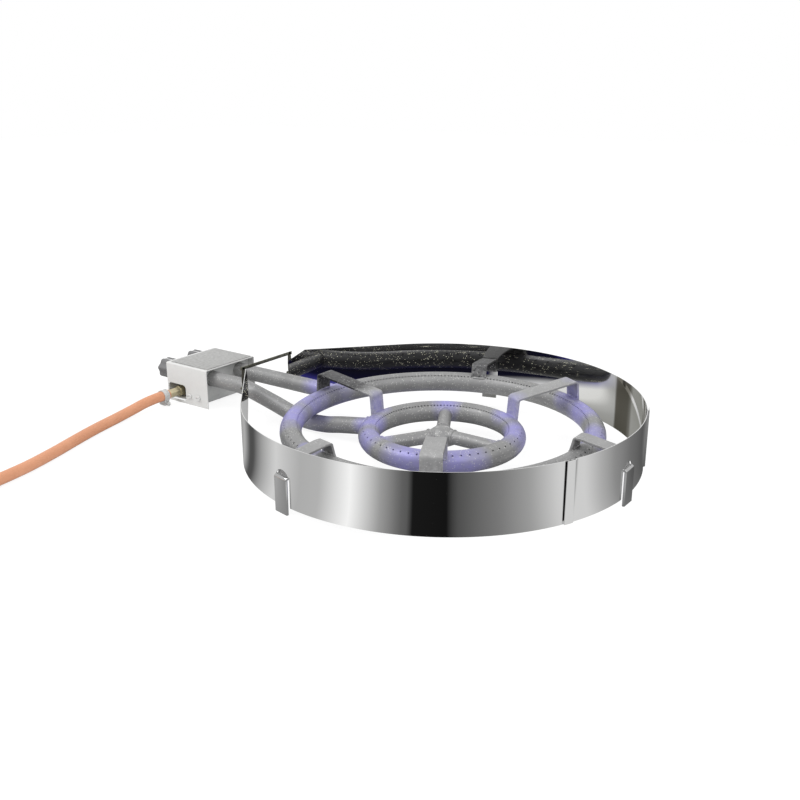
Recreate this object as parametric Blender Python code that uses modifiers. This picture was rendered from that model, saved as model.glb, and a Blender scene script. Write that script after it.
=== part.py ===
"""Two-ring gas burner for a large round pan, with its polished wind guard.

Units are metres and +Z is up.  +X runs from the gas taps to the middle of the
rings.  The origin is on the ground, under the middle of the burner's outline.
"""

import math

import bmesh
import bpy
from mathutils import Matrix, Vector

MM = 0.001
GAP = 0.3 * MM                      # clearance between pieces that touch

# Gas rings
PIPE_R = 13.45 * MM                 # 3/4 inch gas pipe
OUTER_RING_R = 186.5 * MM
OUTER_RING_Z = 39.0 * MM
INNER_RING_R = 90.6 * MM
INNER_RING_Z = 27.5 * MM
RING_SEGMENTS = 72
RING_SIDES = 14

# Feed tubes and the star inside the inner ring
FEED_R = 11.0 * MM
FEED_BORE_R = 9.0 * MM
FEED_BORE_DEPTH = 60.0 * MM
FEED_SPACING = 53.0 * MM            # between the axes of the two tubes
FEED_START_X = -400.0 * MM
DIP_START_X = -335.0 * MM           # where the inner feed tube starts to dive
DIP_LOW_X = -186.5 * MM             # where it passes under the outer ring
DIP_CLEARANCE = 1.0 * MM
STAR_TUBE_R = 8.6 * MM
STAR_ARMS = 3
HUB_R = 17.0 * MM
HUB_HEIGHT = 21.0 * MM
HUB_TOP_R = 9.0 * MM

# Flat-bar supports and legs
BAR_T = 3.0 * MM
SUPPORT_W = 25.0 * MM
SUPPORT_ANGLES = (180.0, 60.0, -60.0)
SUPPORT_INNER_Z = 62.0 * MM
SUPPORT_OUTER_Z = 75.0 * MM
LEG_W = 21.0 * MM
LEG_ANGLES = (0.0, -101.0, 107.0)
LEG_CREST_Z = 66.0 * MM
LEG_CREST_W = 8.0 * MM
LEG_SHOULDER_Z = 59.0 * MM

# Wind guard
GUARD_R = 245.0 * MM                # outer face of the sheet
GUARD_T = 0.8 * MM
GUARD_LOW = 8.0 * MM
GUARD_TOP = 79.0 * MM
GUARD_TIP_X = -292.0 * MM
GUARD_TIP_Y = 42.0 * MM             # half the mouth over the feed tubes
TIP_TOP_Z = 64.0 * MM
TIP_LOW_Z = 36.0 * MM
NOTCH_RUN = 24.0 * MM               # top edge falls over this run to the tip
SWEEP_RUN = 46.0 * MM               # bottom edge rises over this run to the tip
SEAM_ANGLE = 23.0                   # degrees either side of +X
SEAM_LAP = 11.0 * MM
SEAM_STEP = 2.2 * MM
SLOT_W = 24.0 * MM
SLOT_TOP = 50.0 * MM

# Bridge over the feed tubes
BRIDGE_H = 12.0 * MM
BRIDGE_T = 1.5 * MM
BRIDGE_TOP = 76.0 * MM
HOOK_H = 34.0 * MM
HOOK_W = 9.0 * MM
CLIP_R = 2.2 * MM

# Tap cover
COVER_X0 = -450.0 * MM
COVER_X1 = -366.0 * MM
COVER_W = 96.0 * MM
COVER_TOP = 57.0 * MM
COVER_T = 1.2 * MM
WINDOW_X0 = -446.0 * MM
WINDOW_X1 = -411.0 * MM
WINDOW_Z0 = 3.5 * MM
WINDOW_Z1 = 27.0 * MM
PLATE_MARGIN = 8.0 * MM
PLATE_T = 0.8 * MM

# Gas rail, taps and knobs
RAIL_X = -430.0 * MM
RAIL_Z = 15.0 * MM
RAIL_R = 8.0 * MM
RAIL_LEN = COVER_W - 22.0 * MM      # room for the plug and the hose tail's hexagon
RAIL_HEX_AF = 14.0 * MM             # plug and hose tail
TAP_R = 9.5 * MM
TAP_LEN = 34.0 * MM
TAP_STEM_R = 5.5 * MM
NECK_R = 6.0 * MM
NECK_LEN = 6.0 * MM
SPINDLE_R = 4.0 * MM
NUT_AF = 17.0 * MM
NUT_T = 3.0 * MM
KNOB_R = 15.5 * MM
KNOB_LEN = 21.0 * MM
KNOB_FLUTES = 7
KNOB_GAP = 1.5 * MM                 # from the nut to the back of the knob
INJECTOR_AF = 12.0 * MM
INJECTOR_HEX = 9.0 * MM
NOZZLE_LEN = 10.0 * MM
COLLAR_LEN = 14.0 * MM
COLLAR_T = 2.0 * MM

# Bracket that carries the rail, the tubes and the cover
BRACKET_T = 1.5 * MM
BRACKET_Z = RAIL_Z - RAIL_R - GAP - BRACKET_T   # the rail lies on the bracket
BRACKET_WALL_X = -377.0 * MM
BRACKET_WALL_TOP = 54.0 * MM
FLANGE_H = 14.0 * MM
SCREW_HEAD_R = 4.0 * MM
SCREW_HEAD_T = 2.0 * MM
SCREW_R = 2.0 * MM

# Hose tail, clamp and hose
STUB_R = 6.0 * MM
STUB_LEN = 28.0 * MM
HOSE_R = 7.25 * MM
CLAMP_W = 9.0 * MM
CLAMP_T = 1.2 * MM
CLAMP_SET = 3.0 * MM                # from the end of the hose to the clamp
COIL_R = 106.0 * MM
COIL_PITCH = 15.4 * MM
COIL_TURNS = 2.0
COIL_TUCK = 18.0 * MM               # how far the last stretch turns inward
COIL_TUCK_TURNS = 0.6
COIL_STEPS = 24
TIE_T = 0.9 * MM
TIE_W = 8.0 * MM
TIE_ANGLE = 150.0                   # place of the tie, from the coil's start
FERRULE_R = 9.0 * MM
FERRULE_LEN = 12.0 * MM
END_NUT_AF = 20.0 * MM
END_NUT_LEN = 12.0 * MM

HOSE_ROUTE = (                      # from the ring centre's axes, millimetres
    (-430, 0.0, 15.0), (-430, -18, 15.0), (-431.5, -40, 12.8), (-430, -64, 9.6),
    (-424, -98, 7.5), (-413, -140, 7.3), (-400, -180, 7.3), (-385, -223, 7.3),
    (-370, -272, 7.6), (-360, -320, 8.2), (-354, -350, 8.45), (-346, -385, 8.45),
)


def ring_centre_offset():
    """The burner's outline runs from the knobs to the legs; centre it on X."""
    left = COVER_X0 - NUT_T - GAP - KNOB_GAP - KNOB_LEN
    right = GUARD_R + GAP + BAR_T
    return -(left + right) / 2


PARTS = None
CUTTERS = None


# ---------------------------------------------------------------- helpers

def new_collection(name):
    collection = bpy.data.collections.new(name)
    bpy.context.scene.collection.children.link(collection)
    return collection


def move_to(obj, collection):
    for user in list(obj.users_collection):
        user.objects.unlink(obj)
    collection.objects.link(obj)


def finish_material(name, colour, roughness, metallic):
    material = bpy.data.materials.new(name)
    material.use_nodes = True
    shader = material.node_tree.nodes["Principled BSDF"]
    shader.inputs["Base Color"].default_value = (*colour, 1.0)
    shader.inputs["Roughness"].default_value = roughness
    shader.inputs["Metallic"].default_value = metallic
    return material


FINISHES = {
    "pipe": ((0.30, 0.30, 0.30), 0.5, 0.6),
    "mirror": ((0.80, 0.80, 0.80), 0.08, 1.0),
    "cover": ((0.66, 0.66, 0.65), 0.4, 0.1),
    "plate": ((0.38, 0.38, 0.38), 0.35, 0.8),
    "knob": ((0.07, 0.07, 0.075), 0.45, 0.0),
    "brass": ((0.60, 0.45, 0.20), 0.35, 1.0),
    "zinc": ((0.62, 0.62, 0.62), 0.3, 1.0),
    "dark": ((0.03, 0.03, 0.03), 0.4, 0.5),
    "hose": ((0.62, 0.27, 0.13), 0.5, 0.0),
}


def keep(obj, name, finish):
    """Names a finished piece and gives it its own material."""
    obj.name = name
    obj.data.name = name
    obj.data.materials.clear()
    obj.data.materials.append(finish_material(name + "_finish", *FINISHES[finish]))
    obj.data.shade_smooth()
    obj.data.set_sharp_from_angle(angle=math.radians(35))
    move_to(obj, PARTS)
    return obj


def cutter(obj, name):
    obj.name = name
    obj.hide_render = True
    obj.display_type = "WIRE"
    move_to(obj, CUTTERS)
    return obj


def apply_modifiers(obj):
    """Turns a curve or an object with modifiers into a plain closed mesh."""
    graph = bpy.context.evaluated_depsgraph_get()
    mesh = bpy.data.meshes.new_from_object(obj.evaluated_get(graph))
    edit = bmesh.new()
    edit.from_mesh(mesh)
    bmesh.ops.remove_doubles(edit, verts=edit.verts, dist=0.001 * MM)
    edit.to_mesh(mesh)
    edit.free()
    result = bpy.data.objects.new(obj.name, mesh)
    result.matrix_world = obj.matrix_world.copy()
    bpy.context.scene.collection.objects.link(result)
    bpy.data.objects.remove(obj)
    return result


def boolean(obj, other, operation="DIFFERENCE"):
    modifier = obj.modifiers.new(operation.title(), "BOOLEAN")
    modifier.operation = operation
    modifier.object = other
    return modifier


def cut(obj, *others):
    """Cuts the cutters out of the piece for good."""
    for other in others:
        boolean(obj, other)
    return apply_modifiers(obj)


def join(obj, *others):
    """Unites solids that cross into one body."""
    for other in others:
        boolean(obj, other, "UNION")
    result = apply_modifiers(obj)
    for other in others:
        bpy.data.objects.remove(other)
    return result


def box(low, high):
    size = [b - a for a, b in zip(low, high)]
    middle = [(a + b) / 2 for a, b in zip(low, high)]
    bpy.ops.mesh.primitive_cube_add(size=1.0, location=middle)
    obj = bpy.context.object
    obj.data.transform(Matrix.Diagonal((*size, 1.0)))
    return obj


def rod(start, end, radius, sides=24, end_radius=None):
    """A cylinder, cone or prism from one point to another."""
    start = Vector(start)
    end = Vector(end)
    along = end - start
    top = radius if end_radius is None else end_radius
    bpy.ops.mesh.primitive_cone_add(vertices=sides, radius1=radius, radius2=top,
                                    depth=along.length, location=(start + end) / 2)
    obj = bpy.context.object
    turn = along.to_track_quat("Z", "Y").to_matrix().to_4x4()
    obj.data.transform(turn)
    return obj


def hexagon(start, end, across_flats):
    return rod(start, end, across_flats / math.sqrt(3), sides=6)


def torus(major, minor, height, segments=RING_SEGMENTS, sides=RING_SIDES):
    bpy.ops.mesh.primitive_torus_add(major_radius=major, minor_radius=minor,
                                     major_segments=segments, minor_segments=sides,
                                     location=(CENTRE_X, 0.0, height))
    return bpy.context.object


def smooth_path(points, spacing):
    """Points of one smooth curve through the given points, evenly spaced."""
    points = [Vector(p) for p in points]
    first = points[0] * 2 - points[1]
    last = points[-1] * 2 - points[-2]
    chain = [first] + points + [last]
    fine = []
    for i in range(1, len(chain) - 2):
        p0, p1, p2, p3 = chain[i - 1:i + 3]
        for k in range(24):
            t = k / 24
            fine.append(0.5 * (2 * p1 + (p2 - p0) * t
                               + (2 * p0 - 5 * p1 + 4 * p2 - p3) * t ** 2
                               + (3 * p1 - p0 - 3 * p2 + p3) * t ** 3))
    fine.append(points[-1])
    total = sum((b - a).length for a, b in zip(fine, fine[1:]))
    count = max(2, round(total / spacing))
    result = [fine[0]]
    walked = 0.0
    for a, b in zip(fine, fine[1:]):
        step = (b - a).length
        while len(result) < count and walked + step >= total * len(result) / count:
            part = (total * len(result) / count - walked) / step
            result.append(a.lerp(b, part))
        walked += step
    result.append(fine[-1])
    return result, total


def pipe(points, radius, resolution=2):
    """A round bar or tube along the points, as a closed mesh."""
    curve = bpy.data.curves.new("pipe", "CURVE")
    curve.dimensions = "3D"
    curve.bevel_depth = radius
    curve.bevel_resolution = resolution
    curve.use_fill_caps = True
    spline = curve.splines.new("POLY")
    spline.points.add(len(points) - 1)
    for point, place in zip(spline.points, points):
        point.co = (*place, 1.0)
    obj = bpy.data.objects.new("pipe", curve)
    bpy.context.scene.collection.objects.link(obj)
    return apply_modifiers(obj)


def sheet(rows, thickness, offset=0.0):
    """A bent sheet: an open surface through rows of points, with Solidify."""
    edit = bmesh.new()
    lines = [[edit.verts.new(p) for p in row] for row in rows]
    for one, two in zip(lines, lines[1:]):
        for a, b, c, d in zip(one, one[1:], two[1:], two):
            edit.faces.new((a, b, c, d))
    mesh = bpy.data.meshes.new("sheet")
    edit.to_mesh(mesh)
    edit.free()
    obj = bpy.data.objects.new("sheet", mesh)
    bpy.context.scene.collection.objects.link(obj)
    solid = obj.modifiers.new("Sheet", "SOLIDIFY")
    solid.thickness = thickness
    solid.offset = offset
    solid.use_even_offset = True
    return apply_modifiers(obj)


def around(radius, angle, height):
    """A point at a radius and an angle in degrees about the ring centre."""
    turn = math.radians(angle)
    return Vector((CENTRE_X + radius * math.cos(turn), radius * math.sin(turn), height))


def bar(profile, width, angle):
    """A bent flat bar that lies along a radius of the rings."""
    turn = math.radians(angle)
    side = Vector((-math.sin(turn), math.cos(turn), 0.0)) * (width / 2)
    rows = [[around(r, angle, z) - side for r, z in profile],
            [around(r, angle, z) + side for r, z in profile]]
    return sheet(rows, BAR_T)


# ---------------------------------------------------------------- gas rings

def ring_cutters():
    outer = cutter(torus(OUTER_RING_R, PIPE_R + GAP, OUTER_RING_Z), "outer_ring_space")
    inner = cutter(torus(INNER_RING_R, PIPE_R + GAP, INNER_RING_Z), "inner_ring_space")
    return outer, inner


def make_rings():
    keep(torus(OUTER_RING_R, PIPE_R, OUTER_RING_Z), "outer_ring", "pipe")
    keep(torus(INNER_RING_R, PIPE_R, INNER_RING_Z), "inner_ring", "pipe")


def tube_bore(side):
    start = (FEED_START_X - GAP + CENTRE_X, side, OUTER_RING_Z)
    end = (FEED_START_X + FEED_BORE_DEPTH + CENTRE_X, side, OUTER_RING_Z)
    return cutter(rod(start, end, FEED_BORE_R, sides=16), "tube_bore")


def inner_feed_points():
    """The front tube dives under the outer ring and rises to the inner one."""
    low = OUTER_RING_Z - PIPE_R - FEED_R - DIP_CLEARANCE
    reach = math.sqrt(INNER_RING_R ** 2 - (FEED_SPACING / 2) ** 2)
    knots = ((FEED_START_X, OUTER_RING_Z), (DIP_START_X - FEED_R, OUTER_RING_Z),
             (DIP_START_X + 2 * FEED_R, OUTER_RING_Z - 0.1 * FEED_R),
             ((DIP_START_X + DIP_LOW_X) / 2, (OUTER_RING_Z + low) / 2),
             (DIP_LOW_X - 2 * FEED_R, low), (DIP_LOW_X + 1.5 * FEED_R, low),
             ((DIP_LOW_X - reach) / 2, (low + INNER_RING_Z) / 2 - 0.1 * FEED_R),
             (-reach, INNER_RING_Z))
    return [(x + CENTRE_X, -FEED_SPACING / 2, z) for x, z in knots]


def make_feed_tubes(outer_space, inner_space):
    side = FEED_SPACING / 2
    reach = math.sqrt(OUTER_RING_R ** 2 - side ** 2)
    rear = rod((FEED_START_X + CENTRE_X, side, OUTER_RING_Z),
               (CENTRE_X - reach, side, OUTER_RING_Z), FEED_R, sides=20)
    keep(cut(rear, outer_space, tube_bore(side)), "outer_feed_tube", "pipe")
    points, _ = smooth_path(inner_feed_points(), FEED_R)
    front = pipe(points, FEED_R, resolution=6)
    keep(cut(front, inner_space, tube_bore(-side)), "inner_feed_tube", "pipe")


def make_star(inner_space):
    low = INNER_RING_Z - HUB_HEIGHT / 2
    top = INNER_RING_Z + HUB_HEIGHT / 2
    shoulder = INNER_RING_Z + HUB_HEIGHT / 6
    edge = shoulder + GAP
    space = join(rod(around(0, 0, low - GAP), around(0, 0, edge + GAP), HUB_R + 1.5 * GAP),
                 rod(around(0, 0, edge), around(0, 0, top + 2 * GAP),
                     HUB_R + GAP, end_radius=HUB_TOP_R + GAP))
    cutter(space, "hub_space")
    hub = bpy.data.meshes.new("hub")
    edit = bmesh.new()
    profile = ((HUB_TOP_R, top), (HUB_R, shoulder), (HUB_R, low))
    axis_top = edit.verts.new((0.0, 0.0, top))
    chain = [axis_top] + [edit.verts.new((r, 0.0, z)) for r, z in profile]
    chain.append(edit.verts.new((0.0, 0.0, low)))
    for a, b in zip(chain, chain[1:]):
        edit.edges.new((a, b))
    edit.to_mesh(hub)
    edit.free()
    obj = bpy.data.objects.new("star_hub", hub)
    obj.location.x = CENTRE_X
    bpy.context.scene.collection.objects.link(obj)
    screw = obj.modifiers.new("Turn", "SCREW")
    screw.steps = 24
    screw.render_steps = 24
    screw.use_merge_vertices = True
    screw.merge_threshold = 0.01 * MM
    keep(obj, "star_hub", "pipe")
    for arm in range(STAR_ARMS):
        angle = arm * 360 / STAR_ARMS
        tube = rod(around(0, 0, INNER_RING_Z), around(INNER_RING_R, angle, INNER_RING_Z),
                   STAR_TUBE_R, sides=16)
        keep(cut(tube, inner_space, space), f"star_tube_{arm + 1}", "pipe")


# ---------------------------------------------------------------- supports

def make_pan_supports(outer_space, inner_space):
    inner_r = INNER_RING_R + 0.65 * PIPE_R
    outer_r = OUTER_RING_R + 0.45 * PIPE_R
    profile = ((inner_r, INNER_RING_Z), (inner_r + BAR_T, SUPPORT_INNER_Z),
               (outer_r - BAR_T, SUPPORT_OUTER_Z), (outer_r, OUTER_RING_Z))
    for number, angle in enumerate(SUPPORT_ANGLES, 1):
        piece = bar(profile, SUPPORT_W, angle)
        keep(cut(piece, outer_space, inner_space), f"pan_support_{number}", "pipe")


def slot_arch_z():
    return SLOT_TOP - SLOT_W / 2


def jog_z():
    """The guard's arched slot sits on the jog of the leg, corner to corner."""
    rise = math.sqrt((SLOT_W / 2) ** 2 - (LEG_W / 2) ** 2)
    return slot_arch_z() + rise - GAP - BAR_T / 2


def make_legs(outer_space):
    inner_r = OUTER_RING_R - 0.75 * PIPE_R
    crest_r = OUTER_RING_R - BAR_T
    inside = GUARD_R - GUARD_T - GAP - BAR_T
    outside = GUARD_R + GAP + BAR_T / 2
    profile = ((inner_r, OUTER_RING_Z), (crest_r, LEG_CREST_Z),
               (crest_r + LEG_CREST_W, LEG_CREST_Z), (inside, LEG_SHOULDER_Z),
               (inside, jog_z()), (outside, jog_z()), (outside, 0.0))
    for number, angle in enumerate(LEG_ANGLES, 1):
        piece = bar(profile, LEG_W, angle)
        keep(cut(piece, outer_space), f"leg_bracket_{number}", "pipe")


# ---------------------------------------------------------------- wind guard

def tangent_angle():
    """Where the straight wings leave the round of the guard."""
    reach = math.hypot(GUARD_TIP_X, GUARD_TIP_Y)
    tip = math.degrees(math.atan2(GUARD_TIP_Y, GUARD_TIP_X))
    return tip - math.degrees(math.acos(GUARD_R / reach))


def wing_height(distance):
    """Bottom and top of a wing at a distance from its tip."""
    notch = min(1.0, distance / NOTCH_RUN)
    sweep = min(1.0, distance / SWEEP_RUN)
    low = TIP_LOW_Z + (GUARD_LOW - TIP_LOW_Z) * sweep
    top = TIP_TOP_Z + (GUARD_TOP - TIP_TOP_Z) * notch
    return low, top


def side_plan(side):
    """Plan points and heights of one side panel, from the seam to the tip."""
    start = SEAM_ANGLE
    end = tangent_angle()
    steps = round((end - start) / 4)
    stations = []
    for k in range(steps + 1):
        place = around(GUARD_R, side * (start + (end - start) * k / steps), 0.0)
        stations.append((place, GUARD_LOW, GUARD_TOP))
    tip = Vector((GUARD_TIP_X + CENTRE_X, side * GUARD_TIP_Y, 0.0))
    root = stations[-1][0]
    length = (tip - root).length
    for distance in (SWEEP_RUN, NOTCH_RUN, 0.0):
        place = tip.lerp(root, distance / length)
        stations.append((place, *wing_height(distance)))
    return stations


def slot_cutters():
    tools = []
    for angle in LEG_ANGLES:
        turn = math.radians(angle)
        out = Vector((math.cos(turn), math.sin(turn), 0.0))
        arch = rod(around(GUARD_R, angle, slot_arch_z()) - out * SLOT_W,
                   around(GUARD_R, angle, slot_arch_z()) + out * SLOT_W,
                   SLOT_W / 2, sides=24)
        low = box((-SLOT_W, -SLOT_W / 2, 0.0), (SLOT_W, SLOT_W / 2, slot_arch_z()))
        low.data.transform(Matrix.Translation(low.location))
        low.location = around(GUARD_R, angle, 0.0)
        low.rotation_euler.z = turn
        tools.append(cutter(arch, "slot_arch"))
        tools.append(cutter(low, "slot_low"))
    bpy.context.view_layer.update()
    return tools


def make_side_panel(side, name, tools):
    stations = side_plan(side)
    rows = [[Vector((p.x, p.y, low)) for p, low, _ in stations],
            [Vector((p.x, p.y, top)) for p, _, top in stations]]
    panel = sheet(rows, GUARD_T, offset=side)
    keep(cut(panel, *tools), name, "mirror")


def make_end_panel(tools):
    """The end panel laps over both side panels with a joggled edge."""
    lap = math.degrees(SEAM_LAP / GUARD_R)
    gap = math.degrees(2 * GAP / GUARD_R)
    step = GUARD_R + SEAM_STEP
    half = SEAM_ANGLE - gap
    steps = 12
    plan = [(step, -half - lap), (step, -half)]
    plan += [(GUARD_R, -half + lap / 4 + (2 * half - lap / 2) * k / steps)
             for k in range(steps + 1)]
    plan += [(step, half), (step, half + lap)]
    rows = [[around(r, a, GUARD_LOW) for r, a in plan],
            [around(r, a, GUARD_TOP) for r, a in plan]]
    keep(cut(sheet(rows, GUARD_T, offset=1.0), *tools), "end_panel", "mirror")


def make_bridge():
    """A strap over the feed tubes that hooks both wings of the guard."""
    lean = GUARD_T * abs(math.cos(math.radians(tangent_angle())))
    face = GUARD_TIP_X - lean - BRIDGE_T / 2 - GAP + CENTRE_X
    half = GUARD_TIP_Y + HOOK_W
    low = BRIDGE_TOP - BRIDGE_H
    strap = box((face - BRIDGE_T / 2, -half, low), (face + BRIDGE_T / 2, half, BRIDGE_TOP))
    for side in (-1, 1):
        ends = sorted((side * GUARD_TIP_Y, side * half))
        hook = box((face - BRIDGE_T / 2, ends[0], BRIDGE_TOP - HOOK_H),
                   (face + BRIDGE_T / 2, ends[1], BRIDGE_TOP))
        strap = join(strap, hook)
    keep(strap, "bridge_strap", "dark")
    for side, name in ((-1, "front"), (1, "rear")):
        y = side * (GUARD_TIP_Y + HOOK_W / 2)
        z = BRIDGE_TOP - HOOK_H + CLIP_R
        start = (face - BRIDGE_T / 2 - GAP - 2 * CLIP_R, y, z)
        clip = rod(start, (face - BRIDGE_T / 2 - GAP, y, z), CLIP_R, sides=12)
        keep(clip, f"bridge_screw_{name}", "dark")


# ---------------------------------------------------------------- cover

def make_cover():
    half = COVER_W / 2
    x0 = COVER_X0 + CENTRE_X
    x1 = COVER_X1 + CENTRE_X
    body = box((x0, -half, 0.0), (x1, half, COVER_TOP))
    hollow = cutter(box((x0 + COVER_T, -half + COVER_T, -COVER_T),
                        (x1 + COVER_T, half - COVER_T, COVER_TOP - COVER_T)), "cover_hollow")
    window = cutter(box((WINDOW_X0 + CENTRE_X, -half - COVER_T, WINDOW_Z0),
                        (WINDOW_X1 + CENTRE_X, -half + 2 * COVER_T, WINDOW_Z1)), "cover_window")
    tools = [hollow, window]
    for side in (-1, 1):
        y = side * FEED_SPACING / 2
        hole = rod((x0 - COVER_T, y, OUTER_RING_Z), (x0 + 2 * COVER_T, y, OUTER_RING_Z),
                   NECK_R + GAP)
        tools.append(cutter(hole, "neck_hole"))
        for x in screw_places():
            y0 = side * (half - 2 * COVER_T)
            y1 = side * (half + COVER_T)
            drill = rod((x, y0, screw_z()), (x, y1, screw_z()), SCREW_R + GAP, sides=12)
            tools.append(cutter(drill, "screw_hole"))
    keep(cut(body, *tools), "tap_cover", "cover")
    plate = box((x0 + PLATE_MARGIN, -half + PLATE_MARGIN / 2, COVER_TOP + GAP),
                (x1 - PLATE_MARGIN / 4, half - PLATE_MARGIN / 2, COVER_TOP + GAP + PLATE_T))
    keep(plate, "cover_plate", "plate")


def screw_places():
    """Two screws a side, clear of the hose window."""
    back = WINDOW_X1 + 8 * MM + CENTRE_X
    front = BRACKET_WALL_X - 8 * MM + CENTRE_X
    return back, front


def screw_z():
    return BRACKET_Z + 8 * MM


def make_cover_screws():
    half = COVER_W / 2
    number = 0
    for side in (-1, 1):
        for x in screw_places():
            number += 1
            head = rod((x, side * (half + GAP), screw_z()),
                       (x, side * (half + GAP + SCREW_HEAD_T), screw_z()), SCREW_HEAD_R, 16)
            shank = rod((x, side * (half - 6 * MM), screw_z()),
                        (x, side * (half + 2 * GAP), screw_z()), SCREW_R, 12)
            keep(join(head, shank), f"cover_screw_{number}", "zinc")


def make_bracket():
    """A bent plate with flanges that carries the rail, tubes and cover."""
    half = COVER_W / 2 - COVER_T - GAP
    x0 = RAIL_X - RAIL_R + CENTRE_X
    x1 = BRACKET_WALL_X + CENTRE_X
    blank = box((x0, -half, BRACKET_Z), (x1, half, BRACKET_WALL_TOP))
    floor = BRACKET_Z + BRACKET_T
    wall = x1 - BRACKET_T
    above = BRACKET_WALL_TOP + BRACKET_T
    flange_x = WINDOW_X1 + 2 * MM + CENTRE_X
    inside = half - BRACKET_T
    outside = half + BRACKET_T
    tools = [cutter(box((x0 - BRACKET_T, -inside, floor), (wall, inside, above)), "inside"),
             cutter(box((x0 - BRACKET_T, -outside, BRACKET_Z + FLANGE_H),
                        (wall, outside, above)), "above_flanges"),
             cutter(box((x0 - BRACKET_T, -outside, floor), (flange_x, outside, above)),
                    "beside_rail")]
    for side in (-1, 1):
        y = side * FEED_SPACING / 2
        hole = rod((x1 - 2 * BRACKET_T, y, OUTER_RING_Z), (x1 + BRACKET_T, y, OUTER_RING_Z),
                   FEED_R + GAP)
        tools.append(cutter(hole, "tube_hole"))
        for x in screw_places():
            drill = rod((x, side * (half - 2 * BRACKET_T), screw_z()),
                        (x, side * (half + BRACKET_T), screw_z()), SCREW_R + GAP, sides=12)
            tools.append(cutter(drill, "flange_hole"))
    keep(cut(blank, *tools), "tap_bracket", "zinc")


# ---------------------------------------------------------------- taps

def make_rail():
    x = RAIL_X + CENTRE_X
    y0 = -RAIL_LEN / 2
    y1 = RAIL_LEN / 2
    rail = rod((x, y0, RAIL_Z), (x, y1, RAIL_Z), RAIL_R, sides=24)
    keep(rail, "gas_rail", "brass")
    plug = hexagon((x, y1 + GAP, RAIL_Z), (x, y1 + GAP + 6 * MM, RAIL_Z), RAIL_HEX_AF)
    keep(plug, "rail_plug", "brass")
    hexed = hexagon((x, y0 - GAP, RAIL_Z), (x, y0 - GAP - 8 * MM, RAIL_Z), RAIL_HEX_AF)
    stub = rod((x, y0 - GAP - 7 * MM, RAIL_Z), (x, hose_end_y() + GAP, RAIL_Z), STUB_R)
    keep(join(hexed, stub), "hose_tail", "brass")


def hose_end_y():
    """The rim of the hose, out in front of the cover."""
    return -RAIL_LEN / 2 - STUB_LEN


def make_tap(side, name):
    x0 = COVER_X0 + COVER_T + GAP + CENTRE_X
    y = side * FEED_SPACING / 2
    z = OUTER_RING_Z
    body = rod((x0, y, z), (x0 + TAP_LEN, y, z), TAP_R)
    neck = rod((x0 - NECK_LEN, y, z), (x0 + GAP, y, z), NECK_R)
    x = RAIL_X + CENTRE_X
    stem = rod((x, y, RAIL_Z), (x, y, z), TAP_STEM_R, sides=20)
    rail_space = cutter(rod((x, y - TAP_R, RAIL_Z), (x, y + TAP_R, RAIL_Z),
                            RAIL_R + GAP, sides=24), "rail_space")
    bore = cutter(rod((x0 - 2 * NECK_LEN, y, z), (x0 + TAP_LEN * 0.6, y, z),
                      SPINDLE_R + GAP), "spindle_bore")
    keep(cut(join(body, neck, stem), rail_space, bore), f"tap_{name}", "brass")
    nut = hexagon((COVER_X0 - GAP + CENTRE_X, y, z),
                  (COVER_X0 - GAP - NUT_T + CENTRE_X, y, z), NUT_AF)
    hole = cutter(rod((COVER_X0 + CENTRE_X, y, z), (COVER_X0 - 2 * NUT_T + CENTRE_X, y, z),
                      NECK_R + GAP), "nut_hole")
    keep(cut(nut, hole), f"tap_nut_{name}", "zinc")
    return x0 + TAP_LEN * 0.6 - GAP


def knob_face_x():
    return COVER_X0 - GAP - NUT_T - KNOB_GAP + CENTRE_X


def make_knob(side, name, spindle_end):
    """Knob and spindle hang on an empty on the tap's axis."""
    y = side * FEED_SPACING / 2
    axis = bpy.data.objects.new(f"knob_axis_{name}", None)
    axis.location = (knob_face_x(), y, OUTER_RING_Z)
    PARTS.objects.link(axis)
    outer_end = -KNOB_LEN * 0.7
    spindle = rod((spindle_end - knob_face_x(), 0, 0), (outer_end, 0, 0), SPINDLE_R, sides=20)
    bore = cutter(rod((KNOB_LEN, 0, 0), (outer_end - GAP, 0, 0), SPINDLE_R + GAP, sides=20),
                  "knob_bore")
    knob = fluted_knob()
    knob = cut(knob, bore)
    for piece in (spindle, knob):
        piece.parent = axis
    keep(spindle, f"spindle_{name}", "brass")
    keep(knob, f"knob_{name}", "knob")


def fluted_knob():
    """Lobed grip, drawn as a flat outline and extruded along the axis."""
    curve = bpy.data.curves.new("grip", "CURVE")
    curve.dimensions = "2D"
    curve.fill_mode = "BOTH"
    curve.extrude = KNOB_LEN / 2
    spline = curve.splines.new("POLY")
    count = KNOB_FLUTES * 8
    spline.points.add(count - 1)
    for k in range(count):
        turn = 2 * math.pi * k / count
        radius = KNOB_R * (0.93 + 0.07 * math.cos(KNOB_FLUTES * turn))
        spline.points[k].co = (radius * math.cos(turn), radius * math.sin(turn), 0.0, 1.0)
    spline.use_cyclic_u = True
    obj = bpy.data.objects.new("grip", curve)
    bpy.context.scene.collection.objects.link(obj)
    grip = apply_modifiers(obj)
    grip.data.transform(Matrix.Translation((-KNOB_LEN / 2, 0, 0)) @ Matrix.Rotation(
        math.pi / 2, 4, "Y"))
    return grip


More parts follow.
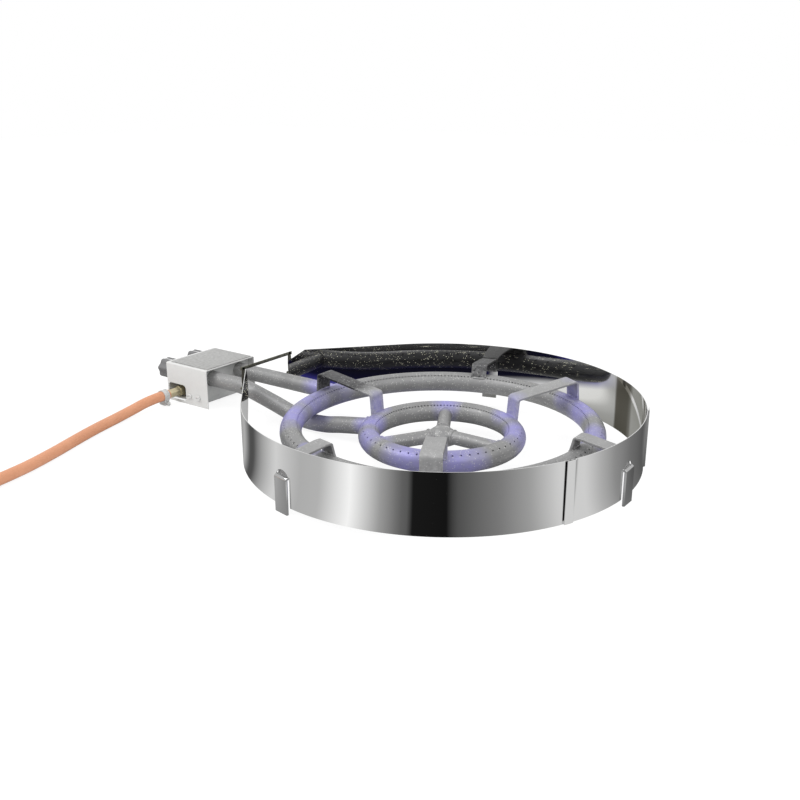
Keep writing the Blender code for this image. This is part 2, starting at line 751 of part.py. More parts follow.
def make_injector(side, name):
    start = COVER_X0 + COVER_T + GAP + TAP_LEN + GAP + CENTRE_X
    y = side * FEED_SPACING / 2
    z = OUTER_RING_Z
    head = hexagon((start, y, z), (start + INJECTOR_HEX, y, z), INJECTOR_AF)
    tip = rod((start + INJECTOR_HEX - GAP, y, z), (start + INJECTOR_HEX + NOZZLE_LEN, y, z),
              0.35 * INJECTOR_AF, sides=16, end_radius=0.18 * INJECTOR_AF)
    keep(join(head, tip), f"injector_{name}", "brass")
    x = FEED_START_X + CENTRE_X
    collar = rod((x, y, z), (x + COLLAR_LEN, y, z), FEED_R + GAP + COLLAR_T, sides=24)
    bore = cutter(rod((x - COLLAR_T, y, z), (x + COLLAR_LEN + COLLAR_T, y, z),
                      FEED_R + GAP, sides=24), "collar_bore")
    keep(cut(collar, bore), f"air_collar_{name}", "zinc")


# ---------------------------------------------------------------- hose

def coil_centre(end, heading):
    """The coil turns to the right of the hose as it arrives."""
    right = Vector((heading.y, -heading.x, 0.0))
    return end + right * COIL_R


def coil_points(end, heading):
    """One flat spiral, wound inward, with its end tucked in and raised."""
    centre = coil_centre(end, heading)
    first = end - centre
    start = math.atan2(first.y, first.x)
    steps = round(COIL_TURNS * COIL_STEPS)
    nut_z = END_NUT_AF / math.sqrt(3)
    points = []
    for k in range(steps + 1):
        turns = k / COIL_STEPS
        late = max(0.0, turns - COIL_TURNS + COIL_TUCK_TURNS) / COIL_TUCK_TURNS
        radius = COIL_R - COIL_PITCH * turns - COIL_TUCK * late ** 2
        angle = start - 2 * math.pi * turns
        height = end.z + (nut_z - end.z) * late ** 2
        points.append(centre + Vector((radius * math.cos(angle), radius * math.sin(angle),
                                       height - end.z)))
    return points


def least_gap(points, radius):
    """Least gap between stretches of the coil that lie more than half a turn apart."""
    least = 1.0
    for i, one in enumerate(points):
        for j in range(i + COIL_STEPS // 2, len(points) - 1):
            a = points[j]
            b = points[j + 1]
            t = max(0.0, min(1.0, (one - a).dot(b - a) / (b - a).length_squared))
            least = min(least, (one - a.lerp(b, t)).length)
    return least - 2 * radius


def make_hose():
    shift = Vector((CENTRE_X, hose_end_y(), 0.0))
    route = [Vector(p) * MM + shift for p in HOSE_ROUTE]
    path, run_length = smooth_path(route, 2 * HOSE_R)
    keep(pipe(path, HOSE_R), "hose_run", "hose")
    heading = (path[-1] - path[-2]).normalized()
    heading.z = 0.0
    heading.normalize()
    start = path[-1] + heading * GAP
    winding = start + heading * 2 * HOSE_R
    turns = [start] + coil_points(winding, heading)
    turns.append(turns[-1] + (turns[-1] - turns[-2]).normalized() * 2 * HOSE_R)
    keep(pipe(turns, HOSE_R, resolution=1), "hose_coil", "hose")
    coil_length = sum((b - a).length for a, b in zip(turns, turns[1:]))
    print("hose run %.3f m, coil %.3f m, coil least gap %.2f mm"
          % (run_length, coil_length, least_gap(turns, HOSE_R) / MM))
    print("hose end", tuple(round(v, 5) for v in path[-1]), "coil centre",
          tuple(round(v, 5) for v in coil_centre(winding, heading)))
    make_hose_end(turns)
    make_tie(winding, coil_centre(winding, heading))


def make_hose_end(turns):
    along = (turns[-1] - turns[-2]).normalized()
    start = turns[-1] + along * GAP
    middle = start + along * FERRULE_LEN
    ferrule = rod(start, middle, FERRULE_R, sides=20)
    keep(ferrule, "hose_end_ferrule", "zinc")
    nut = hexagon(middle + along * GAP, middle + along * (GAP + END_NUT_LEN), END_NUT_AF)
    hole = cutter(rod(middle + along * END_NUT_LEN / 2, middle + along * END_NUT_LEN * 2,
                      END_NUT_AF * 0.3, sides=20), "nut_bore")
    keep(cut(nut, hole), "hose_end_nut", "brass")


def make_tie(winding, centre):
    """A flat strap round the turns that lie side by side."""
    first = winding - centre
    angle = math.atan2(first.y, first.x) - math.radians(TIE_ANGLE)
    share = TIE_ANGLE / 360
    outer = COIL_R - COIL_PITCH * share + HOSE_R + 2 * GAP
    inner = COIL_R - COIL_PITCH * (share + 1) - HOSE_R - 2 * GAP
    low = winding.z - HOSE_R - GAP - TIE_T
    high = winding.z + HOSE_R + GAP + TIE_T
    solid = box((inner - TIE_T, -TIE_W / 2, low), (outer + TIE_T, TIE_W / 2, high))
    inside = box((inner, -TIE_W, low + TIE_T), (outer, TIE_W, high - TIE_T))
    for obj in (solid, inside):
        obj.data.transform(Matrix.Translation(obj.location))
        obj.location = (centre.x, centre.y, 0.0)
        obj.rotation_euler.z = angle
    bpy.context.view_layer.update()
    cutter(inside, "tie_space")
    keep(cut(solid, inside), "hose_tie", "dark")


def make_clamp():
    """A worm-drive band round the end of the hose, with its screw below."""
    x = RAIL_X + CENTRE_X
    y0 = hose_end_y() - CLAMP_SET
    inner = HOSE_R + GAP
    band = rod((x, y0, RAIL_Z), (x, y0 - CLAMP_W, RAIL_Z), inner + CLAMP_T)
    housing = box((x - 6 * MM, y0 - CLAMP_W + GAP, RAIL_Z - inner - 5.5 * MM),
                  (x + 6 * MM, y0 - GAP, RAIL_Z - inner + CLAMP_T))
    space = cutter(rod((x, y0 + CLAMP_W, RAIL_Z), (x, y0 - 2 * CLAMP_W, RAIL_Z), inner),
                   "clamp_space")
    screw_z0 = RAIL_Z - inner - CLAMP_T - 1.9 * MM
    middle = y0 - CLAMP_W / 2
    thread = cutter(rod((x - 12 * MM, middle, screw_z0), (x + 12 * MM, middle, screw_z0),
                        1.4 * MM + GAP, sides=12), "thread_space")
    keep(cut(join(band, housing), space, thread), "hose_clamp", "zinc")
    thread_rod = rod((x - 6 * MM, middle, screw_z0), (x + 7 * MM, middle, screw_z0),
                     1.4 * MM, sides=12)
    head = hexagon((x + 6 * MM + GAP, middle, screw_z0), (x + 10 * MM, middle, screw_z0),
                   5.5 * MM)
    keep(join(head, thread_rod), "clamp_screw", "zinc")


# ---------------------------------------------------------------- build

def clear_scene():
    for obj in list(bpy.data.objects):
        bpy.data.objects.remove(obj, do_unlink=True)


def main():
    global PARTS, CUTTERS
    clear_scene()
    PARTS = new_collection("paella_burner")
    CUTTERS = new_collection("cutters")
    outer_space, inner_space = ring_cutters()
    make_rings()
    make_feed_tubes(outer_space, inner_space)
    make_star(inner_space)
    make_pan_supports(outer_space, inner_space)
    make_legs(outer_space)
    tools = slot_cutters()
    make_side_panel(-1, "side_panel_front", tools)
    make_side_panel(1, "side_panel_rear", tools)
    make_end_panel(tools)
    make_bridge()
    make_cover()
    make_cover_screws()
    make_bracket()
    make_rail()
    for side, name in ((-1, "front"), (1, "rear")):
        spindle_end = make_tap(side, name)
        make_knob(side, name, spindle_end)
        make_injector(side, name)
    make_clamp()
    make_hose()
    print("knob pivots x %.5f y %.5f z %.5f" % (knob_face_x(), FEED_SPACING / 2, OUTER_RING_Z))
    print("ring centre x %.5f" % CENTRE_X)


CENTRE_X = ring_centre_offset()
main()
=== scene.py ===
"""Two-ring gas burner with its polished wind guard, dressed for the studio.

Lengths are metres in the model's own frame: +Z is up, +X runs from the gas taps
to the middle of the rings, and the origin is on the ground under the burner.
"""

import math

import bmesh
import bpy
from mathutils import Matrix, Vector


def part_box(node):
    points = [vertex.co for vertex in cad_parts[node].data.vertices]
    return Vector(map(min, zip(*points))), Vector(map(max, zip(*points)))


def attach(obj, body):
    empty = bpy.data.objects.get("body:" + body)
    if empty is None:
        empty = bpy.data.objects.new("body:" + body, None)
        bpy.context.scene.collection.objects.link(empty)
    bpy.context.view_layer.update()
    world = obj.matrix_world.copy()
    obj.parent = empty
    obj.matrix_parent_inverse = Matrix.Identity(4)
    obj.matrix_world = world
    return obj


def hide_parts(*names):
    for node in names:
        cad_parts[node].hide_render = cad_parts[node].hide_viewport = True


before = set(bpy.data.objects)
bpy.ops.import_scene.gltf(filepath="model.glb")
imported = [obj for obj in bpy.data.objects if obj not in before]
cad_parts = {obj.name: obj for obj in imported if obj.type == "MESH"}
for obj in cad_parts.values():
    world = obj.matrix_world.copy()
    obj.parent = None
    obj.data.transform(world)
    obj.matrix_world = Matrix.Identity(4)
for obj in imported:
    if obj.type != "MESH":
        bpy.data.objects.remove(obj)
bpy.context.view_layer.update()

MM = 0.001
CENTRE_X = 113.75 * MM              # middle of the rings
AHEAD = Vector((1.0, 0.0, 0.0))     # from the taps to the rings
ACROSS = Vector((0.0, 1.0, 0.0))
UP = Vector((0.0, 0.0, 1.0))

# Gas rings
PIPE_R = 13.45 * MM
OUTER_RING = (186.5 * MM, 39.0 * MM)    # radius and height of the pipe's middle
INNER_RING = (90.6 * MM, 27.5 * MM)
PORT_R = 1.15 * MM
PORT_DEPTH = 2.2 * MM
PIPE_SIDES = 24
PORT_ROWS = {3: 2, 8: 1}            # side of the pipe, and one port every so many columns

# Feed tubes and star
FEED_R = 11.0 * MM
FEED_SIDE = 26.5 * MM
FEED_START = -400.0 * MM
BORE_R = 9.0 * MM
BORE_DEPTH = 30.0 * MM
INNER_FEED = ((-400, 39.0), (-346, 39.0), (-313, 37.9), (-260.75, 26.3), (-208.5, 13.55),
              (-170, 13.55), (-136.6, 19.4), (-86.6, 27.5))
STAR_R = 8.6 * MM
HUB_R = 17.0 * MM
HUB_PROFILE = ((0.0, 38.0), (7.6, 38.0), (9.0, 37.2), (16.4, 31.6), (17.0, 30.2),
               (17.0, 18.0), (16.0, 17.0), (0.0, 17.0))

# Flat bars, as radius and height along each bar, in millimetres
BAR_T = 3.0 * MM
SUPPORT_PROFILE = ((99.34, 27.5), (102.34, 62.0), (189.55, 75.0), (192.55, 39.0))
SUPPORT_W = 25.0 * MM
SUPPORT_BEND = 4.5 * MM
SUPPORT_ANGLES = (180.0, 60.0, -60.0)
LEG_PROFILE = ((176.41, 39.0), (183.5, 66.0), (191.5, 66.0), (240.9, 59.0),
               (240.9, 42.0), (246.8, 42.0), (246.8, 0.0))
LEG_W = 21.0 * MM
LEG_BEND = 2.6 * MM
LEG_ANGLES = (0.0, -101.0, 107.0)

# Beads of weld
WELD_R = 1.9 * MM
BAR_WELD_R = 1.6 * MM
HUB_WELD_R = 1.5 * MM

# Wind guard
GUARD_R = 245.0 * MM
GUARD_T = 0.8 * MM
GUARD_LOW = 8.0 * MM
GUARD_TOP = 79.0 * MM
WING_TIP = (-292.0 * MM, 42.0 * MM)
TIP_LOW = 36.0 * MM
TIP_TOP = 64.0 * MM
NOTCH_RUN = 24.0 * MM
SWEEP_RUN = 46.0 * MM
WING_STEPS = (70, 58, 46, 40, 34, 29, 24, 20, 16, 12, 8, 4, 0)  # millimetres from the tip
SEAM_ANGLE = 23.0
LAP = 11.0 * MM
LAP_STEP = 2.2 * MM
SLOT_W = 24.0 * MM
SLOT_TOP = 50.0 * MM
STRAP_H = 4.6 * MM
HOOK_GAP = 4.5 * MM                 # from a wing's tip to the middle of its hook

# Cover over the taps
COVER_X = (-450.0 * MM, -366.0 * MM)
COVER_HALF = 48.0 * MM
COVER_TOP = 57.0 * MM
COVER_T = 1.2 * MM
WINDOW = ((-446.0 * MM, 3.5 * MM), (-411.0 * MM, 27.0 * MM))
NECK_R = 6.3 * MM
SCREW_PLACES = (-403.0 * MM, -385.0 * MM)
SCREW_Z = 13.2 * MM
MARK_HEIGHT = 13.45 * MM            # from a knob's axis, just proud of its flute

# Hose
HOSE_R = 7.25 * MM
HOSE_END_Y = -65.0 * MM
HOSE_ROUTE = (
    (-430, 0.0, 15.0), (-430, -18, 15.0), (-431.5, -40, 12.8), (-430, -64, 9.6),
    (-424, -98, 7.5), (-413, -140, 7.3), (-400, -180, 7.3), (-385, -223, 7.3),
    (-370, -272, 7.6), (-360, -320, 8.2), (-354, -350, 8.45), (-346, -385, 8.45),
)
COIL_R = 106.0 * MM
COIL_PITCH = 15.4 * MM
COIL_TURNS = 2.0
COIL_TUCK = 18.0 * MM
COIL_TUCK_TURNS = 0.6
COIL_STEPS = 24
COIL_END_Z = 20.0 / math.sqrt(3) * MM
TIE_ANGLE = 150.0
TIE_W = 8.0 * MM
TIE_HALF = 0.45 * MM                # half its thickness, on a rib
TIE_RIB = 0.13 * MM

# Photograph's camera
CAMERA_PLACE = (0.73719, -0.95006, 0.45095)
CAMERA_PITCH = 71.5791
CAMERA_HEADING = 35.8955
CAMERA_LENS = 43.83

# Toned cards on the floor, which the polished sheet shows: degrees round the guard
# from the line to the camera, and brightness on the screen
CARD_AXIS = -56.7
OUTSIDE_CARDS = (
    (-180.0, 0.60), (-140.0, 0.45), (-110.0, 0.78), (-92.0, 0.60), (-80.5, 0.70),
    (-72.0, 0.32), (-68.0, 0.31), (-60.8, 0.64), (-52.2, 0.84), (-40.8, 0.70),
    (-33.4, 0.72), (-23.9, 0.99), (-15.5, 0.63), (-10.3, 0.40), (-7.7, 0.34),
    (-7.4, 0.10), (2.6, 0.08), (2.9, 0.29), (8.5, 0.40), (14.9, 0.49),
    (23.1, 0.63), (32.1, 0.83), (41.1, 0.83), (47.5, 0.70), (55.1, 0.56),
    (65.5, 0.44), (79.5, 0.34), (100.0, 0.60), (140.0, 0.85),
)
# The same inside the guard, by radius in millimetres, behind and at the right
INSIDE_DARK = (
    (0.0, (0.09, 0.11, 0.22)), (60.0, (0.08, 0.10, 0.16)), (95.0, (0.06, 0.06, 0.08)),
    (150.0, (0.06, 0.06, 0.14)), (172.0, (0.18, 0.17, 0.42)), (186.0, (0.29, 0.28, 0.56)),
    (196.0, (0.58, 0.58, 0.68)), (216.0, (0.68, 0.68, 0.72)), (245.0, (0.70, 0.70, 0.70)),
)
INSIDE_PALE = (
    (0.0, (0.09, 0.11, 0.22)), (110.0, (0.10, 0.10, 0.13)), (150.0, (0.90, 0.90, 0.90)),
    (190.0, (0.86, 0.86, 0.85)), (202.0, (0.70, 0.70, 0.69)), (214.0, (0.62, 0.62, 0.61)),
    (240.0, (0.56, 0.56, 0.54)),
)
INSIDE_REACH = 250.0 * MM
PALE_FROM = 104.0                   # degrees: the pale card ends between these
PALE_TO = 118.0
REFLECTION_STREAK = (45.0, 48.0, 55.5, 57.0)    # degrees: dark upright streak inside the guard, a painted reflection tinted like a scorch stain
# Bluish heat tint and painted glow of the lit flames on the burner: place in millimetres from
# the ring centre, and reach
FLAME_GLOW_TINT_PLACES = (
    ((-155.0, -105.0, 48.0), 52.0), ((-182.0, -40.0, 48.0), 42.0),
    ((-205.0, 20.0, 44.0), 44.0), ((-84.0, -38.0, 36.0), 34.0),
    ((-52.0, -76.0, 36.0), 30.0), ((20.0, -92.0, 22.0), 46.0),
    ((70.0, -66.0, 24.0), 40.0), ((86.0, 36.0, 36.0), 44.0),
    ((48.0, 86.0, 46.0), 30.0), ((-101.0, 0.0, 46.0), 22.0),
    ((-46.0, 80.0, 33.0), 26.0), ((96.0, 166.0, 52.0), 30.0),
    ((128.0, 134.0, 48.0), 40.0), ((172.0, 52.0, 44.0), 42.0),
    ((-60.0, -178.0, 52.0), 22.0),
)
# Soot on the bars, given in the same way
SOOT_PLACES = (
    ((-182.0, 0.0, 74.0), 42.0), ((-150.0, 0.0, 69.0), 40.0),
    ((-55.0, 181.0, 62.0), 34.0), ((-66.0, 216.0, 60.0), 44.0),
)


# ---------------------------------------------------------------- geometry

def around(radius, angle, height):
    """A point at a radius and an angle in degrees about the ring centre."""
    turn = math.radians(angle)
    return Vector((CENTRE_X + radius * math.cos(turn), radius * math.sin(turn), height))


def sideways(angle):
    """The level direction round the rings at an angle in degrees."""
    turn = math.radians(angle)
    return Vector((-math.sin(turn), math.cos(turn), 0.0))


def from_centre(x, y, z):
    """A point given in millimetres from the ring centre."""
    return Vector((CENTRE_X + x * MM, y * MM, z * MM))


def smooth_path(points, spacing):
    """Points of one smooth curve through the given points, evenly spaced."""
    points = [Vector(p) for p in points]
    chain = [points[0] * 2 - points[1]] + points + [points[-1] * 2 - points[-2]]
    fine = []
    for i in range(1, len(chain) - 2):
        p0, p1, p2, p3 = chain[i - 1:i + 3]
        for k in range(24):
            t = k / 24
            fine.append(0.5 * (2 * p1 + (p2 - p0) * t
                               + (2 * p0 - 5 * p1 + 4 * p2 - p3) * t ** 2
                               + (3 * p1 - p0 - 3 * p2 + p3) * t ** 3))
    fine.append(points[-1])
    total = sum((b - a).length for a, b in zip(fine, fine[1:]))
    count = max(2, round(total / spacing))
    result = [fine[0]]
    walked = 0.0
    for a, b in zip(fine, fine[1:]):
        step = (b - a).length
        while len(result) < count and walked + step >= total * len(result) / count:
            result.append(a.lerp(b, (total * len(result) / count - walked) / step))
        walked += step
    result.append(fine[-1])
    return result


def rounded_path(points, radius, steps=6):
    """The same line with its corners bent to a radius."""
    result = [points[0]]
    for before, corner, after in zip(points, points[1:], points[2:]):
        to_before = (before - corner).normalized()
        to_after = (after - corner).normalized()
        half = to_before.angle(to_after) / 2
        reach = min(radius / math.tan(half), 0.48 * (before - corner).length,
                    0.48 * (after - corner).length)
        start = corner + to_before * reach
        end = corner + to_after * reach
        for k in range(steps + 1):
            t = k / steps
            result.append(start.lerp(corner, t).lerp(corner.lerp(end, t), t))
    result.append(points[-1])
    return result


def transport(points):
    """A sideways direction at each point that turns with the line, without twist."""
    last = len(points) - 1
    tangents = [(points[min(i + 1, last)] - points[max(i - 1, 0)]).normalized()
                for i in range(len(points))]
    side = tangents[0].cross(UP)
    if side.length < 0.1:
        side = tangents[0].orthogonal()
    sides = [side.normalized()]
    for a, b in zip(tangents, tangents[1:]):
        sides.append((a.rotation_difference(b) @ sides[-1]).normalized())
    return list(zip(tangents, sides))


def circle(middle, side, up, radius, sides):
    """Points evenly round a circle."""
    return [middle + side * (radius * math.cos(2 * math.pi * k / sides))
            + up * (radius * math.sin(2 * math.pi * k / sides)) for k in range(sides)]


def tube_rings(points, radii, sides):
    """Rings of points round a line, each with its own radius."""
    return [circle(point, side, side.cross(along), radius, sides)
            for point, (along, side), radius in zip(points, transport(points), radii)]


def loft(rings, closed=False):
    """A skin through rings of points; an open one is capped at both ends."""
    edit = bmesh.new()
    lines = [[edit.verts.new(p) for p in ring] for ring in rings]
    pairs = list(zip(lines, lines[1:]))
    if closed:
        pairs.append((lines[-1], lines[0]))
    for one, two in pairs:
        for k, corner in enumerate(one):
            n = (k + 1) % len(one)
            edit.faces.new((corner, one[n], two[n], two[k]))
    if not closed:
        edit.faces.new(list(reversed(lines[0])))
        edit.faces.new(lines[-1])
    bmesh.ops.recalc_face_normals(edit, faces=edit.faces)
    return edit


def tube(points, radius, sides=36):
    """A round tube with slightly broken edges at its ends."""
    lip = min(0.6 * MM, 0.2 * radius)
    first = points[0].lerp(points[1], lip / (points[1] - points[0]).length)
    last = points[-1].lerp(points[-2], lip / (points[-2] - points[-1]).length)
    line = [points[0], first] + points[1:-1] + [last, points[-1]]
    radii = [radius - lip] + [radius] * (len(line) - 2) + [radius - lip]
    return loft(tube_rings(line, radii, sides))


def turned(profile, origin, axis, sides=48):
    """A solid turned about an axis, from (radius, distance along it) pairs."""
    axis = axis.normalized()
    side = axis.orthogonal().normalized()
    up = axis.cross(side)
    return loft([circle(origin + axis * along, side, up, max(radius, 0.01 * MM), sides)
                 for radius, along in profile])


def section(width, thickness, edge, steps=3):
    """Corner-rounded outline of a flat bar, as (across, through) pairs."""
    outline = []
    for quarter, (sx, sy) in enumerate(((1, 1), (-1, 1), (-1, -1), (1, -1))):
        cx = sx * (width / 2 - edge)
        cy = sy * (thickness / 2 - edge)
        for k in range(steps + 1):
            turn = math.radians(90 * quarter + 90 * k / steps)
            outline.append((cx + edge * math.cos(turn), cy + edge * math.sin(turn)))
    return outline


def link_mesh(name, edit):
    """Puts an edited mesh into the scene as a piece."""
    mesh = bpy.data.meshes.new(name)
    edit.to_mesh(mesh)
    edit.free()
    obj = bpy.data.objects.new(name, mesh)
    bpy.context.scene.collection.objects.link(obj)
    return obj


def settle(obj):
    """Applies the modifiers, so the piece is a plain mesh."""
    graph = bpy.context.evaluated_depsgraph_get()
    mesh = bpy.data.meshes.new_from_object(obj.evaluated_get(graph))
    obj.modifiers.clear()
    obj.data = mesh
    return obj


def thicken(obj, thickness):
    """Gives a skin the thickness of its sheet, behind its faces."""
    solid = obj.modifiers.new("Sheet", "SOLIDIFY")
    solid.thickness = thickness
    solid.offset = -1.0
    solid.use_even_offset = True
    return settle(obj)


def soften_edges(obj, width, segments=2, angle=32.0):
    """Breaks the sharp edges, so they catch the light."""
    bevel = obj.modifiers.new("Edges", "BEVEL")
    bevel.width = width
    bevel.segments = segments
    bevel.limit_method = "ANGLE"
    bevel.angle_limit = math.radians(angle)
    bevel.harden_normals = True
    bevel.use_clamp_overlap = True
    return settle(obj)


def fit(obj, finish, nodes=(), body="root", sharp=40.0, shade=True):
    """Gives a piece its material and shading, hides the nodes it stands in for and attaches it
    to the body it moves with.
    """
    material, slot = FINISHES[finish]
    if shade:
        obj.data.shade_smooth()
        obj.data.set_sharp_from_angle(angle=math.radians(sharp))
    obj.data.materials.clear()
    obj.data.materials.append(material)
    if nodes:
        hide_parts(*nodes)
    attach(obj, body)
    return obj


def refine(node, finish, width=0.35 * MM, body="root", segments=2):
    """A closer copy of a node: flats cleaned up and edges broken."""
    edit = bmesh.new()
    edit.from_mesh(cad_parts[node].data)
    bmesh.ops.remove_doubles(edit, verts=edit.verts, dist=0.005 * MM)
    bmesh.ops.dissolve_limit(edit, angle_limit=math.radians(1.0), verts=edit.verts,
                             edges=edit.edges)
    obj = link_mesh("dressed_" + node, edit)
    obj.data.shade_smooth()
    soften_edges(obj, width, segments)
    return fit(obj, finish, [node], body, shade=False)


# ---------------------------------------------------------------- shader parts

def linear(tone):
    """A brightness or colour as seen on the screen, as light."""
    if isinstance(tone, (tuple, list)):
        return tuple(linear(part) for part in tone)
    return tone / 12.92 if tone <= 0.04045 else ((tone + 0.055) / 1.055) ** 2.4


def rgba(tone):
    values = (tone,) * 3 if isinstance(tone, float) else tone
    return (*linear(tuple(values)), 1.0)


def put(tree, kind, inputs=(), **settings):
    """Adds a node; inputs maps its sockets to values or to other sockets."""
    made = tree.nodes.new(kind)
    for key, value in settings.items():
        setattr(made, key, value)
    for key, value in dict(inputs).items():
        if isinstance(value, bpy.types.NodeSocket):
            tree.links.new(value, made.inputs[key])
        else:
            made.inputs[key].default_value = value
    return made


def math_node(tree, operation, *values, clamp=False):
    return put(tree, "ShaderNodeMath", dict(enumerate(values)), operation=operation,
               use_clamp=clamp).outputs[0]


def times(tree, first, *others, clamp=False):
    """The product of two or more values."""
    for other in others:
        first = math_node(tree, "MULTIPLY", first, other, clamp=clamp)
    return first


def object_place(tree):
    """A point's place on its piece, so a pattern moves with the piece."""
    return put(tree, "ShaderNodeTexCoord").outputs["Object"]


def ranged(tree, value, start, end, low=0.0, high=1.0):
    """Maps start to end onto low to high, and holds both ends."""
    return put(tree, "ShaderNodeMapRange",
               {"Value": value, "From Min": start, "From Max": end, "To Min": low,
                "To Max": high}).outputs[0]


def mix_colour(tree, factor, one, two):
    made = put(tree, "ShaderNodeMix", {0: factor, 6: one, 7: two}, data_type="RGBA")
    return made.outputs[2]


def ramp(tree, factor, stops):
    """Colours along a line, from (place, colour) stops."""
    made = put(tree, "ShaderNodeValToRGB", {0: factor})
    bar = made.color_ramp
    while len(bar.elements) < len(stops):
        bar.elements.new(1.0)
    # the elements sort themselves, so every place is set before any colour
    for element, (place, _) in zip(bar.elements, stops):
        element.position = place
    for element, (place, colour) in zip(bar.elements, stops):
        element.position = place
        element.color = colour
    return made.outputs[0]


def group_tree(name, inputs, outputs):
    """An empty shader group with its named inputs and outputs."""
    tree = bpy.data.node_groups.new(name, "ShaderNodeTree")
    for label, kind, value in inputs:
        socket = tree.interface.new_socket(label, in_out="INPUT", socket_type=kind)
        socket.default_value = value
    for label, kind in outputs:
        tree.interface.new_socket(label, in_out="OUTPUT", socket_type=kind)
    return tree, tree.nodes.new("NodeGroupInput"), tree.nodes.new("NodeGroupOutput")


def grain_group():
    """Uneven tone and fine relief of a worked surface."""
    tree, given, result = group_tree(
        "surface_grain",
        [("Scale", "NodeSocketFloat", 300.0), ("Stretch", "NodeSocketVector", (1, 1, 1)),
         ("Broad", "NodeSocketFloat", 20.0)],
        [("Fine", "NodeSocketFloat"), ("Patches", "NodeSocketFloat")])
    place = object_place(tree)
    drawn = put(tree, "ShaderNodeVectorMath", {0: place, 1: given.outputs["Stretch"]},
                operation="MULTIPLY").outputs[0]
    fine = put(tree, "ShaderNodeTexNoise",
               {"Vector": drawn, "Scale": given.outputs["Scale"], "Detail": 4.0,
                "Roughness": 0.6})
    broad = put(tree, "ShaderNodeTexNoise",
                {"Vector": place, "Scale": given.outputs["Broad"], "Detail": 2.0})
    tree.links.new(fine.outputs[0], result.inputs["Fine"])
    tree.links.new(broad.outputs[0], result.inputs["Patches"])
    return tree


def speck_group():
    """Small bright or dark specks scattered over a surface."""
    tree, given, result = group_tree(
        "specks",
        [("Scale", "NodeSocketFloat", 400.0), ("Size", "NodeSocketFloat", 0.2),
         ("Share", "NodeSocketFloat", 0.2)],
        [("Mask", "NodeSocketFloat")])
    place = object_place(tree)
    cells = put(tree, "ShaderNodeTexVoronoi",
                {"Vector": place, "Scale": given.outputs["Scale"]})
    near = math_node(tree, "LESS_THAN", cells.outputs["Distance"], given.outputs["Size"])
    pick = put(tree, "ShaderNodeSeparateColor", {0: cells.outputs["Color"]}).outputs[0]
    chosen = math_node(tree, "LESS_THAN", pick, given.outputs["Share"])
    mask = times(tree, near, chosen)
    tree.links.new(mask, result.inputs["Mask"])
    return tree


def patch_group(name, places):
    """Soft patches at given places: soot on the steel, and the heat tint with painted flame
    glow.
    """
    tree, given, result = group_tree(
        name, [("Strength", "NodeSocketFloat", 1.0)], [("Mask", "NodeSocketFloat")])
    place = object_place(tree)
    total = 0.0
    for spot, reach in places:
        distance = put(tree, "ShaderNodeVectorMath", {0: place, 1: from_centre(*spot)},
                       operation="DISTANCE").outputs["Value"]
        fade = math_node(tree, "MULTIPLY_ADD", distance, -1.5 / (reach * MM), 1.5, clamp=True)
        total = math_node(tree, "MAXIMUM", fade, total)
    cloud = put(tree, "ShaderNodeTexNoise", {"Vector": place, "Scale": 45.0, "Detail": 3.0})
    uneven = math_node(tree, "MULTIPLY_ADD", cloud.outputs[0], 1.6, 0.1, clamp=True)
    mask = times(tree, total, uneven, given.outputs["Strength"], clamp=True)
    tree.links.new(mask, result.inputs["Mask"])
    return tree


def wear_group():
    """Rubbed outside edges, as a mask."""
    tree, given, result = group_tree(
        "edge_wear", [("Amount", "NodeSocketFloat", 1.0)], [("Mask", "NodeSocketFloat")])
    bulge = put(tree, "ShaderNodeNewGeometry").outputs["Pointiness"]
    edge = ranged(tree, bulge, 0.52, 0.62)
    place = object_place(tree)
    chips = put(tree, "ShaderNodeTexNoise", {"Vector": place, "Scale": 260.0, "Detail": 3.0})
    uneven = math_node(tree, "MULTIPLY_ADD", chips.outputs[0], 2.0, -0.5, clamp=True)
    mask = times(tree, edge, uneven, given.outputs["Amount"], clamp=True)
    tree.links.new(mask, result.inputs["Mask"])
    return tree


def effect(tree, name, inputs):
    """Places a shared group with this finish's own values."""
    made = tree.nodes.new("ShaderNodeGroup")
    made.node_tree = GROUPS[name]
    for key, value in inputs.items():
        made.inputs[key].default_value = value
    return made.outputs


def blank(name, metallic):
    """A new material, and its nodes and shader."""
    material = bpy.data.materials.new(name)
    material.use_nodes = True
    shader = material.node_tree.nodes["Principled BSDF"]
    shader.inputs["Metallic"].default_value = metallic
    return material, material.node_tree, shader


def spread(tree, noise, low, high):
    """A noise value, which keeps near its middle, stretched over a range."""
    return ranged(tree, noise, 0.3, 0.7, low, high)


def bearing(tree, place):
    """Angle in degrees of a place about the ring centre."""
    apart = put(tree, "ShaderNodeSeparateXYZ", {0: place}).outputs
    x = math_node(tree, "SUBTRACT", apart[0], CENTRE_X)
    turn = math_node(tree, "ARCTAN2", apart[1], x)
    return times(tree, turn, 180 / math.pi)


def centre_distance(tree, place):
    """Level distance of a place from the ring centre."""
    away = put(tree, "ShaderNodeVectorMath", {0: place, 1: (CENTRE_X, 0.0, 0.0)},
               operation="SUBTRACT").outputs[0]
    flat = put(tree, "ShaderNodeVectorMath", {0: away, 1: (1.0, 1.0, 0.0)},
               operation="MULTIPLY").outputs[0]
    return put(tree, "ShaderNodeVectorMath", {0: flat}, operation="LENGTH").outputs["Value"]


def beyond(tree, place, limit):
    """1 where a place is further than that from the ring centre, else 0."""
    return math_node(tree, "GREATER_THAN", centre_distance(tree, place), limit)


